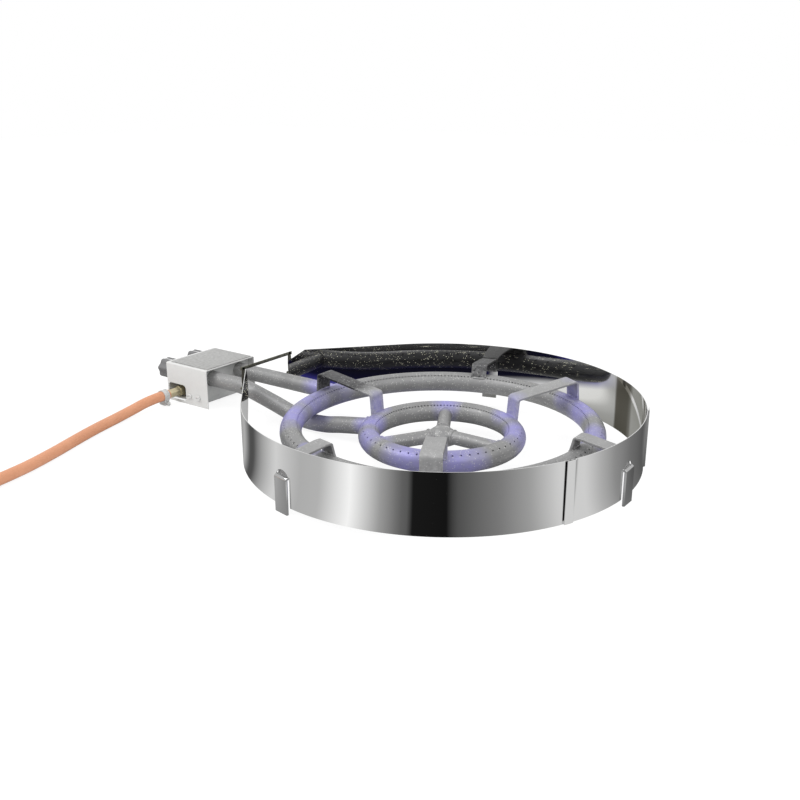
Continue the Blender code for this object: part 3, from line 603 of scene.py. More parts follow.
def dress(tree, shader, colour, fine, gloss, bump=None):
    """Gives a shader its colour, an uneven gloss and a fine relief.

    Gloss is the range of roughness, and bump is its depth in millimetres and strength.
    """
    tree.links.new(colour, shader.inputs["Base Color"])
    tree.links.new(spread(tree, fine, *gloss), shader.inputs["Roughness"])
    if bump:
        bumps = put(tree, "ShaderNodeBump",
                    {"Strength": bump[1], "Distance": bump[0] * MM, "Height": fine})
        tree.links.new(bumps.outputs[0], shader.inputs["Normal"])


# ---------------------------------------------------------------- finishes

def burner_steel():
    """Blasted pipe: grey, speckled, with painted glints, a bluish heat tint and painted flame
    glow near the flames, and a painted dark reflection for rays off the polished sheet.
    """
    material, tree, shader = blank("burner_pipe", 0.2)
    grain = effect(tree, "grain", {"Scale": 900.0, "Broad": 28.0})
    specks = effect(tree, "specks", {"Scale": 520.0, "Size": 0.30, "Share": 0.26})
    pits = effect(tree, "specks", {"Scale": 300.0, "Size": 0.24, "Share": 0.35})
    tint = effect(tree, "tint", {"Strength": 0.75})
    wear = effect(tree, "wear", {"Amount": 0.6})
    base = mix_colour(tree, grain["Patches"], rgba(0.50), rgba(0.60))
    pitted = mix_colour(tree, times(tree, pits["Mask"], 0.45), base, rgba(0.42))
    # Painted flame glow: bluish tint where the lit flames glow, also standing for the steel's
    # heat tint
    heated_and_glowing = mix_colour(tree, tint["Mask"], pitted, rgba((0.61, 0.59, 0.87)))
    rubbed = mix_colour(tree, wear["Mask"], heated_and_glowing, rgba(0.82))
    # Bright specks: partly the speckled finish, partly painted glints
    speckled_glints = mix_colour(tree, times(tree, specks["Mask"], 0.6), rubbed,
                        rgba((0.90, 0.90, 0.88)))
    # Painted reflection: rays off the polished sheet see the pipe dark, with painted glints
    mirrored = put(tree, "ShaderNodeLightPath").outputs["Is Glossy Ray"]
    reflected_glints = effect(tree, "specks", {"Scale": 640.0, "Size": 0.27, "Share": 0.22})
    dark = mix_colour(tree, reflected_glints["Mask"], rgba((0.10, 0.10, 0.11)), rgba((0.95, 0.94, 0.84)))
    dress(tree, shader, mix_colour(tree, mirrored, speckled_glints, dark), grain["Fine"], (0.34, 0.55),
          (0.25, 0.5))
    return material


def bar_steel():
    """Flat bar: smoother than the pipe; the feet outside the guard are polished; inside it
    carries the heat tint with painted flame glow, and a painted darker reflection for rays off
    the polished sheet.
    """
    material, tree, shader = blank("flat_bar", 0.2)
    grain = effect(tree, "grain", {"Scale": 700.0, "Broad": 40.0})
    specks = effect(tree, "specks", {"Scale": 520.0, "Size": 0.28, "Share": 0.20})
    tint = effect(tree, "tint", {"Strength": 0.7})
    wear = effect(tree, "wear", {"Amount": 0.9})
    base = mix_colour(tree, grain["Patches"], rgba(0.53), rgba(0.62))
    # Painted flame glow: bluish tint where the lit flames glow, also standing for the steel's
    # heat tint
    heated_and_glowing = mix_colour(tree, tint["Mask"], base, rgba((0.61, 0.59, 0.87)))
    soot = effect(tree, "soot", {"Strength": 1.8})
    sooted = mix_colour(tree, soot["Mask"], heated_and_glowing, rgba((0.11, 0.11, 0.12)))
    flecked = mix_colour(tree, times(tree, specks["Mask"], 0.6), sooted,
                         rgba(0.88))
    rubbed = mix_colour(tree, wear["Mask"], flecked, rgba(0.90))
    # Painted reflection: rays off the polished sheet see the bar darker
    mirrored = put(tree, "ShaderNodeLightPath").outputs["Is Glossy Ray"]
    painted_dark_reflection = mix_colour(tree, times(tree, mirrored, 0.8), rubbed, rgba(0.16))
    outside = beyond(tree, object_place(tree), GUARD_R)
    final = mix_colour(tree, outside, painted_dark_reflection, rgba(0.74))
    keenest, dullest, metallic = (
        ranged(tree, outside, 0.0, 1.0, inner, outer)
        for inner, outer in ((0.32, 0.06), (0.50, 0.12), (0.2, 1.0)))
    dress(tree, shader, final, grain["Fine"], (keenest, dullest), (0.1, 0.2))
    tree.links.new(metallic, shader.inputs["Metallic"])
    return material


def mirror_steel():
    """Polished stainless sheet with faint upright rolling marks and a painted dark reflection
    streak, tinted like a scorch stain.
    """
    material, tree, shader = blank("polished_sheet", 1.0)
    grain = effect(tree, "grain", {"Scale": 160.0, "Stretch": (1.0, 1.0, 0.05), "Broad": 9.0})
    tone = mix_colour(tree, grain["Patches"], rgba((0.95, 0.95, 0.945)),
                      rgba((0.975, 0.975, 0.975)))
    # Painted dark reflection streak on the inner face, tinted brown like a scorch stain
    reflection_streaked = mix_colour(tree, painted_reflection_streak(tree, grain), tone, rgba((0.40, 0.38, 0.32)))
    dress(tree, shader, reflection_streaked, grain["Fine"], (0.025, 0.06), (0.03, 0.06))
    return material


def painted_reflection_streak(tree, grain):
    """Painted dark reflection: an upright streaky patch on the inner face, near one end of the
    guard.
    """
    place = object_place(tree)
    angle = math_node(tree, "MULTIPLY_ADD", grain["Fine"], 3.0, bearing(tree, place))
    rise = ranged(tree, angle, REFLECTION_STREAK[0], REFLECTION_STREAK[1])
    fall = ranged(tree, angle, REFLECTION_STREAK[3], REFLECTION_STREAK[2])
    inner_face = math_node(tree, "SUBTRACT", 1.0, beyond(tree, place, GUARD_R - GUARD_T / 2))
    return times(tree, rise, fall, inner_face, 0.92)


def worn(name, metallic, grain, tones, wear, rubbed, gloss, bump, pattern="Patches"):
    """A finish of two mixed tones with rubbed edges."""
    material, tree, shader = blank(name, metallic)
    surface = effect(tree, "grain", grain)
    edges = effect(tree, "wear", {"Amount": wear})
    base = mix_colour(tree, surface[pattern], rgba(tones[0]), rgba(tones[1]))
    dress(tree, shader, mix_colour(tree, edges["Mask"], base, rgba(rubbed)), surface["Fine"],
          gloss, bump)
    return material


def black_steel():
    """Blackened strap, rubbed on its edges."""
    return worn("blackened_strap", 0.4, {"Scale": 500.0, "Broad": 60.0},
                ((0.11, 0.11, 0.10), (0.27, 0.27, 0.25)), 0.9, (0.52, 0.52, 0.46),
                (0.22, 0.42), (0.1, 0.3))


def cover_paint():
    """Pale satin paint with a slight orange peel."""
    return worn("pale_paint", 0.0, {"Scale": 620.0, "Broad": 24.0},
                ((0.80, 0.80, 0.795), (0.85, 0.85, 0.845)), 0.5, (0.94, 0.94, 0.935),
                (0.32, 0.46), (0.06, 0.25))


def brushed_plate():
    """Satin sheet brushed along the cover."""
    return worn("brushed_plate", 0.2,
                {"Scale": 900.0, "Stretch": (0.06, 1.0, 1.0), "Broad": 18.0},
                ((0.52, 0.52, 0.515), (0.64, 0.64, 0.63)), 0.6, 0.9,
                (0.34, 0.46), (0.04, 0.3), "Fine")


def zinc_steel():
    """Zinc-plated bracket, nuts and hose clamp."""
    return worn("zinc_plate", 0.3, {"Scale": 420.0, "Broad": 60.0},
                ((0.73, 0.74, 0.74), (0.80, 0.80, 0.79)), 0.5, 0.95,
                (0.36, 0.48), (0.03, 0.12))


def dull_brass():
    """Taps, rail and hose fittings, dulled by handling."""
    return worn("dull_brass", 0.55, {"Scale": 380.0, "Broad": 70.0},
                ((0.70, 0.66, 0.54), (0.82, 0.78, 0.65)), 0.7, (0.92, 0.86, 0.66),
                (0.26, 0.44), (0.05, 0.25))


def knob_plastic():
    """Dark moulded grip with a matt spark-eroded skin."""
    return worn("knob_moulding", 0.0, {"Scale": 1500.0, "Broad": 60.0},
                ((0.38, 0.38, 0.385), (0.45, 0.45, 0.455)), 0.5, 0.58,
                (0.38, 0.55), (0.05, 0.4))


def hose_rubber():
    """Orange gas hose, slightly dusty, with a soft sheen."""
    material, tree, shader = blank("hose_rubber", 0.0)
    grain = effect(tree, "grain", {"Scale": 800.0, "Broad": 35.0})
    dust = effect(tree, "specks", {"Scale": 500.0, "Size": 0.2, "Share": 0.12})
    base = mix_colour(tree, grain["Patches"], rgba((0.79, 0.54, 0.40)),
                      rgba((0.86, 0.62, 0.48)))
    dusty = mix_colour(tree, times(tree, dust["Mask"], 0.25), base,
                       rgba((0.95, 0.80, 0.70)))
    dress(tree, shader, dusty, grain["Fine"], (0.34, 0.50), (0.06, 0.3))
    return material


def pale_mark():
    """Moulded-in index mark of the knob."""
    material, tree, shader = blank("index_mark", 0.0)
    grain = effect(tree, "grain", {"Scale": 1200.0, "Broad": 90.0})
    base = mix_colour(tree, grain["Patches"], rgba(0.78), rgba(0.88))
    dress(tree, shader, base, grain["Fine"], (0.42, 0.58))
    return material


GROUPS = {
    "grain": grain_group(),
    "specks": speck_group(),
    "tint": patch_group("heat_tint_and_flame_glow", FLAME_GLOW_TINT_PLACES),
    "soot": patch_group("soot", SOOT_PLACES),
    "wear": wear_group(),
}
FINISHES = {
    "pipe": (burner_steel(), "burner_steel"),
    "bar": (bar_steel(), "bar_steel"),
    "mirror": (mirror_steel(), "mirror_steel"),
    "black": (black_steel(), "black_steel"),
    "paint": (cover_paint(), "cover_paint"),
    "plate": (brushed_plate(), "inset_plate"),
    "zinc": (zinc_steel(), "zinc_steel"),
    "brass": (dull_brass(), "brass"),
    "knob": (knob_plastic(), "knob_plastic"),
    "mark": (pale_mark(), "knob_plastic"),
    "hose": (hose_rubber(), "hose_rubber"),
    "tie": (knob_plastic(), "tie_plastic"),
}


# ---------------------------------------------------------------- camera

def set_camera():
    """The photograph's viewing angle."""
    data = bpy.data.cameras.new("camera")
    data.sensor_width = 36.0
    data.lens = CAMERA_LENS
    data.clip_start = 0.01
    data.clip_end = 50.0
    camera = bpy.data.objects.new("camera", data)
    camera.location = CAMERA_PLACE
    camera.rotation_euler = (math.radians(CAMERA_PITCH), 0.0, math.radians(CAMERA_HEADING))
    bpy.context.scene.collection.objects.link(camera)
    bpy.context.scene.camera = camera


# ---------------------------------------------------------------- hose

def coil_points(end, heading):
    """One flat spiral, wound inward, with its end tucked in and raised."""
    centre = end + Vector((heading.y, -heading.x, 0.0)) * COIL_R
    first = end - centre
    start = math.atan2(first.y, first.x)
    points = []
    for k in range(round(COIL_TURNS * COIL_STEPS) + 1):
        turns = k / COIL_STEPS
        late = max(0.0, turns - COIL_TURNS + COIL_TUCK_TURNS) / COIL_TUCK_TURNS
        radius = COIL_R - COIL_PITCH * turns - COIL_TUCK * late ** 2
        angle = start - 2 * math.pi * turns
        rise = (COIL_END_Z - end.z) * late ** 2
        points.append(centre + Vector((radius * math.cos(angle), radius * math.sin(angle),
                                       rise)))
    return points, centre


def hose_line():
    """The whole run of the hose: out of the cover, along the table, into its coil."""
    shift = Vector((CENTRE_X, HOSE_END_Y, 0.0))
    run = smooth_path([Vector(p) * MM + shift for p in HOSE_ROUTE], 2 * HOSE_R)
    heading = run[-1] - run[-2]
    heading.z = 0.0
    heading.normalize()
    winding = run[-1] + heading * (0.3 * MM + 2 * HOSE_R)
    coil, centre = coil_points(winding, heading)
    tail = coil[-1] + (coil[-1] - coil[-2]).normalized() * 2 * HOSE_R
    return run + coil + [tail], winding, centre


def make_hose():
    """The hose as one cord, with the fittings and the tie on it."""
    line, winding, centre = hose_line()
    curve = bpy.data.curves.new("gas_hose", "CURVE")
    curve.dimensions = "3D"
    curve.bevel_depth = HOSE_R
    curve.bevel_resolution = 8
    curve.resolution_u = 4
    curve.use_fill_caps = True
    spline = curve.splines.new("BEZIER")
    spline.bezier_points.add(len(line) - 1)
    for point, place in zip(spline.bezier_points, line):
        point.co = place
        point.handle_left_type = "AUTO"
        point.handle_right_type = "AUTO"
    spline.use_smooth = True
    hose = bpy.data.objects.new("gas_hose", curve)
    bpy.context.scene.collection.objects.link(hose)
    fit(hose, "hose", ["hose_run", "hose_coil"], shade=False)
    ferrule = make_ferrule(line)
    nut = refine("hose_end_nut", "brass", 0.5 * MM)
    tie = make_tie(winding, centre)
    clamp = refine("hose_clamp", "zinc", 0.2 * MM)
    screw = refine("clamp_screw", "zinc", 0.2 * MM)


def make_ferrule(line):
    """Pressed sleeve with three crimped grooves."""
    along = (line[-1] - line[-2]).normalized()
    start = line[-1] + along * 0.3 * MM
    profile = [(8.2, 0.0), (8.9, 0.5)]
    for groove in (2.5, 5.5, 8.5):
        profile += [(8.9, groove - 0.7), (8.2, groove - 0.3), (8.2, groove + 0.3),
                    (8.9, groove + 0.7)]
    profile += [(8.9, 11.4), (8.2, 12.0)]
    edit = turned([(r * MM, a * MM) for r, a in profile], start, along)
    return fit(link_mesh("hose_sleeve", edit), "zinc", ["hose_end_ferrule"])


def make_tie(winding, centre):
    """Flat ribbed strap round both turns of the coil."""
    first = winding - centre
    angle = math.atan2(first.y, first.x) - math.radians(TIE_ANGLE)
    share = TIE_ANGLE / 360
    outer = COIL_R - COIL_PITCH * share + HOSE_R + 0.6 * MM + TIE_HALF
    inner = COIL_R - COIL_PITCH * (share + 1) - HOSE_R - 0.6 * MM - TIE_HALF
    low = winding.z - HOSE_R - 0.3 * MM - TIE_HALF
    high = winding.z + HOSE_R + 0.3 * MM + TIE_HALF
    out = Vector((math.cos(angle), math.sin(angle), 0.0))
    across = Vector((-math.sin(angle), math.cos(angle), 0.0))
    corners = [Vector((inner, 0, low)), Vector((outer, 0, low)), Vector((outer, 0, high)),
               Vector((inner, 0, high))]
    middle = Vector(((inner + outer) / 2, 0, low))
    path = rounded_path([middle] + corners[1:] + [corners[0], middle], 5 * MM, 5)
    fine = smooth_path(path, 1.0 * MM)[:-1]
    rings = []
    for k, point in enumerate(fine):
        ahead = (fine[(k + 1) % len(fine)] - fine[k - 1]).normalized()
        normal = Vector((ahead.z, 0, -ahead.x))
        thick = TIE_HALF if k % 2 else TIE_HALF - TIE_RIB
        ring = []
        for a, t in section(TIE_W, 2 * thick, 0.2 * MM, 1):
            flat = point + normal * t
            ring.append(Vector((centre.x, centre.y, flat.z)) + out * flat.x + across * a)
        rings.append(ring)
    return fit(link_mesh("coil_tie", loft(rings, closed=True)), "tie", ["hose_tie"])


# ---------------------------------------------------------------- gas rings

def drill_port(edit, corners, nearest):
    """Replaces one square of the pipe's skin with a round drilled hole."""
    middle = sum((v.co for v in corners), Vector()) / 4
    across = (corners[1].co - corners[0].co).normalized()
    normal = across.cross(corners[3].co - corners[0].co).normalized()
    along = normal.cross(across)
    if normal.dot(middle - nearest(middle)) < 0:
        normal.negate()
    base, next_base = (math.atan2(way.dot(along), way.dot(across))
                       for way in (corners[0].co - middle, corners[1].co - middle))
    turn = 1 if next_base > base else -1
    if abs(next_base - base) > math.pi:
        turn = -turn
    rim = []
    floor = []
    for k in range(8):
        angle = base + turn * (k - 0.5) * math.pi / 4
        spoke = across * math.cos(angle) + along * math.sin(angle)
        rim.append(edit.verts.new(middle + spoke * PORT_R))
        floor.append(edit.verts.new(middle + spoke * PORT_R * 0.9 - normal * PORT_DEPTH))
    for k in range(4):
        n = (k + 1) % 4
        edit.faces.new((corners[k], rim[2 * k], rim[2 * k + 1]))
        edit.faces.new((corners[k], rim[2 * k + 1], rim[(2 * k + 2) % 8], corners[n]))
    for k in range(8):
        n = (k + 1) % 8
        edit.faces.new((rim[k], floor[k], floor[n], rim[n]))
    edit.faces.new(floor)


def ring_axis(radius, height):
    """Nearest point of a ring's middle line to a point."""
    def nearest(point):
        flat = Vector((point.x - CENTRE_X, point.y, 0.0)).normalized()
        return Vector((CENTRE_X + flat.x * radius, flat.y * radius, height))
    return nearest


def drilled_ring(name, ring, columns):
    """A pipe bent round and closed, with rows of burner ports in its upper half."""
    radius, height = ring
    nearest = ring_axis(radius, height)
    rows = PIPE_SIDES
    edit = bmesh.new()
    grid = []
    for i in range(columns):
        angle = 360.0 * i / columns
        line = []
        for j in range(rows):
            turn = 2 * math.pi * j / rows
            line.append(edit.verts.new(around(radius + PIPE_R * math.cos(turn), angle,
                                              height + PIPE_R * math.sin(turn))))
        grid.append(line)
    for i in range(columns):
        for j in range(rows):
            corners = [grid[i][j], grid[(i + 1) % columns][j],
                       grid[(i + 1) % columns][(j + 1) % rows], grid[i][(j + 1) % rows]]
            if j in PORT_ROWS and i % PORT_ROWS[j] == j % PORT_ROWS[j]:
                drill_port(edit, corners, nearest)
            else:
                edit.faces.new(corners)
    bmesh.ops.recalc_face_normals(edit, faces=edit.faces)
    return fit(link_mesh("drilled_" + name, edit), "pipe", [name])


def make_rings():
    drilled_ring("outer_ring", OUTER_RING, 240)
    drilled_ring("inner_ring", INNER_RING, 120)


# ---------------------------------------------------------------- feed and star

def make_feed_tubes():
    reach = math.sqrt(OUTER_RING[0] ** 2 - FEED_SIDE ** 2)
    start = Vector((CENTRE_X + FEED_START, FEED_SIDE, OUTER_RING[1]))
    end = Vector((CENTRE_X - reach, FEED_SIDE, OUTER_RING[1]))
    straight = [start.lerp(end, k / 24) for k in range(25)]
    bored_tube(straight, "outer_feed_tube")
    line = smooth_path([from_centre(x, -FEED_SIDE / MM, z) for x, z in INNER_FEED], 5 * MM)
    bored_tube(line, "inner_feed_tube")


def bored_tube(line, node):
    """A feed tube, open at the tap end where the gas jet draws in air."""
    depth = [line[0].lerp(line[0] + (line[1] - line[0]).normalized() * BORE_DEPTH, k / 3)
             for k in range(4)]
    outside = tube_rings(line, [FEED_R] * len(line), 40)
    inside = tube_rings(depth, [BORE_R] * 4, 40)
    rings = [*reversed(inside), *outside]
    fit(link_mesh("bent_" + node, loft(rings)), "pipe", [node])


def make_star():
    profile = [(r * MM, z * MM) for r, z in reversed(HUB_PROFILE)]
    edit = turned(profile, Vector((CENTRE_X, 0.0, 0.0)), UP)
    fit(link_mesh("cast_star_hub", edit), "pipe", ["star_hub"], sharp=50)
    for arm in range(3):
        angle = arm * 120.0
        line = [around(r * MM, angle, INNER_RING[1]) for r in (12, 30, 50, 70, 84)]
        fit(link_mesh(f"star_arm_{arm + 1}", tube(line, STAR_R)), "pipe",
            [f"star_tube_{arm + 1}"])


# ---------------------------------------------------------------- flat bars

def bar_frames(profile, angle, bend):
    """Place, side and outward directions along a bent bar."""
    points = [around(r * MM, angle, z * MM) for r, z in profile]
    line = rounded_path(points, bend)
    side = sideways(angle)
    frames = []
    for k, point in enumerate(line):
        along = (line[min(k + 1, len(line) - 1)] - line[max(k - 1, 0)]).normalized()
        frames.append((point, side, along.cross(side).normalized()))
    return frames


def bent_bar(node, profile, width, angle, bend):
    """A flat bar with rounded edges, bent along its profile."""
    outline = section(width, BAR_T, 0.7 * MM)
    rings = [[point + side * a + normal * t for a, t in outline]
             for point, side, normal in bar_frames(profile, angle, bend)]
    fit(link_mesh("bent_" + node, loft(rings)), "bar", [node])


def make_bars():
    for number, angle in enumerate(SUPPORT_ANGLES, 1):
        bent_bar(f"pan_support_{number}", SUPPORT_PROFILE, SUPPORT_W, angle, SUPPORT_BEND)
    for number, angle in enumerate(LEG_ANGLES, 1):
        bent_bar(f"leg_bracket_{number}", LEG_PROFILE, LEG_W, angle, LEG_BEND)


# ---------------------------------------------------------------- weld beads

def landing(start, heading, ring):
    """Where a line from the start first meets the skin of a ring."""
    nearest = ring_axis(*ring)
    low, high = 0.0, None
    step = 0.5 * MM
    for k in range(400):
        point = start + heading * (k * step)
        if (point - nearest(point)).length < PIPE_R:
            high = k * step
            low = max(0.0, high - step)
            break
    if high is None:
        return None
    for _ in range(12):
        middle = (low + high) / 2
        point = start + heading * middle
        if (point - nearest(point)).length < PIPE_R:
            high = middle
        else:
            low = middle
    return start + heading * high


def weld(name, points, radius=WELD_R, closed=False):
    """A rippled bead of weld along the points."""
    fine = smooth_path(points, 0.8 * MM)
    radii = []
    for k in range(len(fine)):
        ripple = 0.80 + 0.20 * abs(math.sin(k * math.pi / 4)) + 0.06 * math.sin(k * 1.7)
        ends = 1.0 if closed else min(1.0, 0.35 + 0.2 * min(k, len(fine) - 1 - k))
        radii.append(radius * ripple * ends)
    fit(link_mesh(name, loft(tube_rings(fine, radii, 10))), "pipe", sharp=70)


def weld_tube(name, centre, heading, tube_r, ring):
    """A bead all round a tube where it runs into a ring."""
    side = heading.cross(UP).normalized()
    starts = circle(centre, side, side.cross(heading), tube_r, 24)
    loop = []
    for start in [*starts, starts[0]]:
        point = landing(start, heading, ring)
        if point is not None:
            loop.append(point)
    if len(loop) > 20:
        weld(name, loop, closed=True)


def weld_bar(name, profile, width, angle, first, ring):
    """Beads along the faces of a bar where its end stands on a ring."""
    points = [around(r * MM, angle, z * MM) for r, z in profile]
    if not first:
        points.reverse()
    heading = (points[0] - points[1]).normalized()
    side = sideways(angle)
    normal = heading.cross(side).normalized()
    for face in (-1, 1):
        line = []
        for k in range(9):
            start = points[1] + side * (width * 0.46 * (k / 4 - 1)) + normal * (face * BAR_T / 2)
            point = landing(start, heading, ring)
            if point is not None:
                line.append(point)
        if len(line) > 4:
            weld(f"{name}_{'a' if face < 0 else 'b'}", line, BAR_WELD_R)


def make_welds():
    weld_tube("weld_outer_feed", Vector((CENTRE_X - 240 * MM, FEED_SIDE, OUTER_RING[1])), AHEAD,
              FEED_R, OUTER_RING)
    end = [from_centre(x, -FEED_SIDE / MM, z) for x, z in INNER_FEED[-2:]]
    weld_tube("weld_inner_feed", end[0], (end[1] - end[0]).normalized(), FEED_R, INNER_RING)
    for arm in range(3):
        angle = arm * 120.0
        out = around(1.0, angle, 0.0) - around(0.0, angle, 0.0)
        weld_tube(f"weld_star_{arm + 1}", around(40 * MM, angle, INNER_RING[1]), out, STAR_R,
                  INNER_RING)
        loop = circle(around(HUB_R + 0.2 * MM, angle, INNER_RING[1]), out.cross(UP), UP, STAR_R,
                      24)
        weld(f"weld_hub_{arm + 1}", [*loop, loop[0]], HUB_WELD_R, closed=True)
    for number, angle in enumerate(SUPPORT_ANGLES, 1):
        weld_bar(f"weld_support_in_{number}", SUPPORT_PROFILE, SUPPORT_W, angle, True,
                 INNER_RING)
        weld_bar(f"weld_support_out_{number}", SUPPORT_PROFILE, SUPPORT_W, angle, False,
                 OUTER_RING)
    for number, angle in enumerate(LEG_ANGLES, 1):
        weld_bar(f"weld_leg_{number}", LEG_PROFILE, LEG_W, angle, True, OUTER_RING)


# ---------------------------------------------------------------- wind guard

def tangent_angle():
    """Where the straight wings leave the round of the guard."""
    reach = math.hypot(*WING_TIP)
    tip = math.degrees(math.atan2(WING_TIP[1], WING_TIP[0]))
    return tip - math.degrees(math.acos(GUARD_R / reach))


def slot_edge(angle):
    """Lower edge of the sheet over a leg's slot.

    None beside the slots and on their side edges, where the sheet keeps its height.
    """
    for leg in LEG_ANGLES:
        away = abs(math.radians(angle - leg)) * GUARD_R
        rise = math.sqrt(max(0.0, (SLOT_W / 2) ** 2 - away ** 2))
        if rise > 0.01 * MM:
            return SLOT_TOP - SLOT_W / 2 + rise
    return None


def column_angles(start, end, step=0.75):
    """Even angles that also fall on both edges of every slot between them."""
    half = math.degrees(SLOT_W / 2 / GUARD_R)
    marks = {round(start, 6), round(end, 6)}
    for leg in LEG_ANGLES:
        for k in range(-8, 9):
            marks.add(round(leg + half * math.sin(math.pi / 2 * k / 8), 6))
    count = round((end - start) / step)
    for k in range(count + 1):
        angle = start + (end - start) * k / count
        if all(abs(angle - leg) > half + 0.2 for leg in LEG_ANGLES):
            marks.add(round(angle, 6))
    return sorted(a for a in marks if start - 1e-6 <= a <= end + 1e-6)


def guard_column(edit, place, low, top, slot):
    """Points up the sheet: the lower ones are missing over a slot."""
    spring = SLOT_TOP - SLOT_W / 2
    heights = [low, low + 1 * MM, low + (spring - low) / 3, low + (spring - low) * 2 / 3]
    if slot is not None:
        heights = [None] * 4
        spring = slot
    heights += [spring + (top - spring) * k / 5 for k in range(5)] + [top - 1 * MM, top]
    return [None if z is None else edit.verts.new((place.x, place.y, z)) for z in heights]


def bend_sheet(name, node, columns):
    """A sheet through upright columns of points, given its thickness."""
    edit = bmesh.new()
    lines = [guard_column(edit, *column) for column in columns]
    for one, two in zip(lines, lines[1:]):
        for a, b, c, d in zip(one, one[1:], two[1:], two):
            if None in (a, b, c, d):
                continue
            edit.faces.new((a, d, c, b))
    return fit(thicken(link_mesh(name, edit), GUARD_T), "mirror", [node], sharp=30.0)


def round_columns(start, end):
    """Columns of the round part of the guard."""
    return [(around(GUARD_R, a, 0.0), GUARD_LOW, GUARD_TOP, slot_edge(a))
            for a in column_angles(start, end)]


def make_side_panel(side, name):
    start = SEAM_ANGLE if side > 0 else -tangent_angle()
    end = tangent_angle() if side > 0 else -SEAM_ANGLE
    columns = round_columns(start, end)
    tip = Vector((CENTRE_X + WING_TIP[0], side * WING_TIP[1], 0.0))
    root = around(GUARD_R, side * tangent_angle(), 0.0)
    length = (tip - root).length
    wing = []
    for distance in WING_STEPS:
        distance *= MM
        if distance >= length:
            continue
        sweep = min(1.0, distance / SWEEP_RUN)
        notch = min(1.0, distance / NOTCH_RUN)
        wing.append((tip.lerp(root, distance / length),
                     TIP_LOW + (GUARD_LOW - TIP_LOW) * sweep,
                     TIP_TOP + (GUARD_TOP - TIP_TOP) * notch, None))
    columns = columns + wing if side > 0 else list(reversed(wing)) + columns
    bend_sheet("polished_" + name, name, columns)


def make_end_panel():
    """The end panel steps out at both ends and laps over the side panels."""
    lap = math.degrees(LAP / GUARD_R)
    half = SEAM_ANGLE - math.degrees(0.6 * MM / GUARD_R)
    inner = half - lap / 4
    columns = round_columns(-inner, inner)
    step = []
    for k in range(1, 5):
        t = k / 4
        ease = t * t * (3 - 2 * t)
        step.append((GUARD_R + LAP_STEP * ease, inner + (half - inner) * t))
    step += [(GUARD_R + LAP_STEP, half + lap * k / 4) for k in range(1, 5)]
    far = [(around(r, a, 0.0), GUARD_LOW, GUARD_TOP, None) for r, a in step]
    near = [(around(r, -a, 0.0), GUARD_LOW, GUARD_TOP, None) for r, a in reversed(step)]
    bend_sheet("polished_end_panel", "end_panel", near + columns + far)


def make_bridge():
    """Slim strip over the feed tubes, with a flat hook down to each wing."""
    low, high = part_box("bridge_strap")
    x = (low.x + high.x) / 2
    outline = section(high.x - low.x, STRAP_H, 0.5 * MM)
    middle = high.z - STRAP_H / 2 - 0.1 * MM
    ends = (low.y, low.y + 2 * MM, high.y - 2 * MM, high.y)
    rings = [[Vector((x, y, middle)) + AHEAD * a + UP * t for a, t in outline]
             for y in ends]
    fit(link_mesh("strap_strip", loft(rings)), "black", ["bridge_strap"])
    for side, name in ((-1, "front"), (1, "rear")):
        y = side * (WING_TIP[1] + HOOK_GAP)
        drop = ((high.z - 0.6 * MM, 2.2), (high.z - 6 * MM, 3.0), (high.z - 16 * MM, 3.6),
                (high.z - 26 * MM, 3.4), (low.z + 2.5 * MM, 2.6), (low.z + 0.3 * MM, 1.4))
        rings = [[Vector((x, y, z)) + ACROSS * a + AHEAD * t
                  for a, t in section(2 * half * MM, high.x - low.x, 0.5 * MM)]
                 for z, half in drop]
        fit(link_mesh("strap_hook_" + name, loft(rings)), "black", ["bridge_strap"])
        refine("bridge_screw_" + name, "black", 0.4 * MM)


# ---------------------------------------------------------------- cover and taps

def box_edit(low, high):
    edit = bmesh.new()
    bmesh.ops.create_cube(edit, size=1.0)
    size = Vector(high) - Vector(low)
    middle = (Vector(high) + Vector(low)) / 2
    bmesh.ops.transform(edit, verts=edit.verts,
                        matrix=Matrix.Translation(middle) @ Matrix.Diagonal((*size, 1.0)))
    return edit


def cut_with(obj, *tools):
    """Cuts the tools out of a piece, and removes them."""
    for tool in tools:
        modifier = obj.modifiers.new("Cut", "BOOLEAN")
        modifier.operation = "DIFFERENCE"
        modifier.object = tool
    settle(obj)
    for tool in tools:
        bpy.data.objects.remove(tool)
    return obj


def window_tool():
    (x0, z0), (x1, z1) = WINDOW
    edit = box_edit((CENTRE_X + x0, -COVER_HALF - 3 * MM, z0),
                    (CENTRE_X + x1, -COVER_HALF + 3 * MM, z1))
    upright = [e for e in edit.edges
               if abs(e.verts[0].co.y - e.verts[1].co.y) > 1 * MM]
    bmesh.ops.bevel(edit, geom=upright, offset=5 * MM, segments=8, affect="EDGES",
                    profile=0.5)
    return link_mesh("window_tool", edit)


def round_tool(start, end, radius):
    start = Vector(start)
    along = Vector(end) - start
    edit = turned([(radius, 0.0), (radius, along.length)], start, along, 32)
    return link_mesh("round_tool", edit)


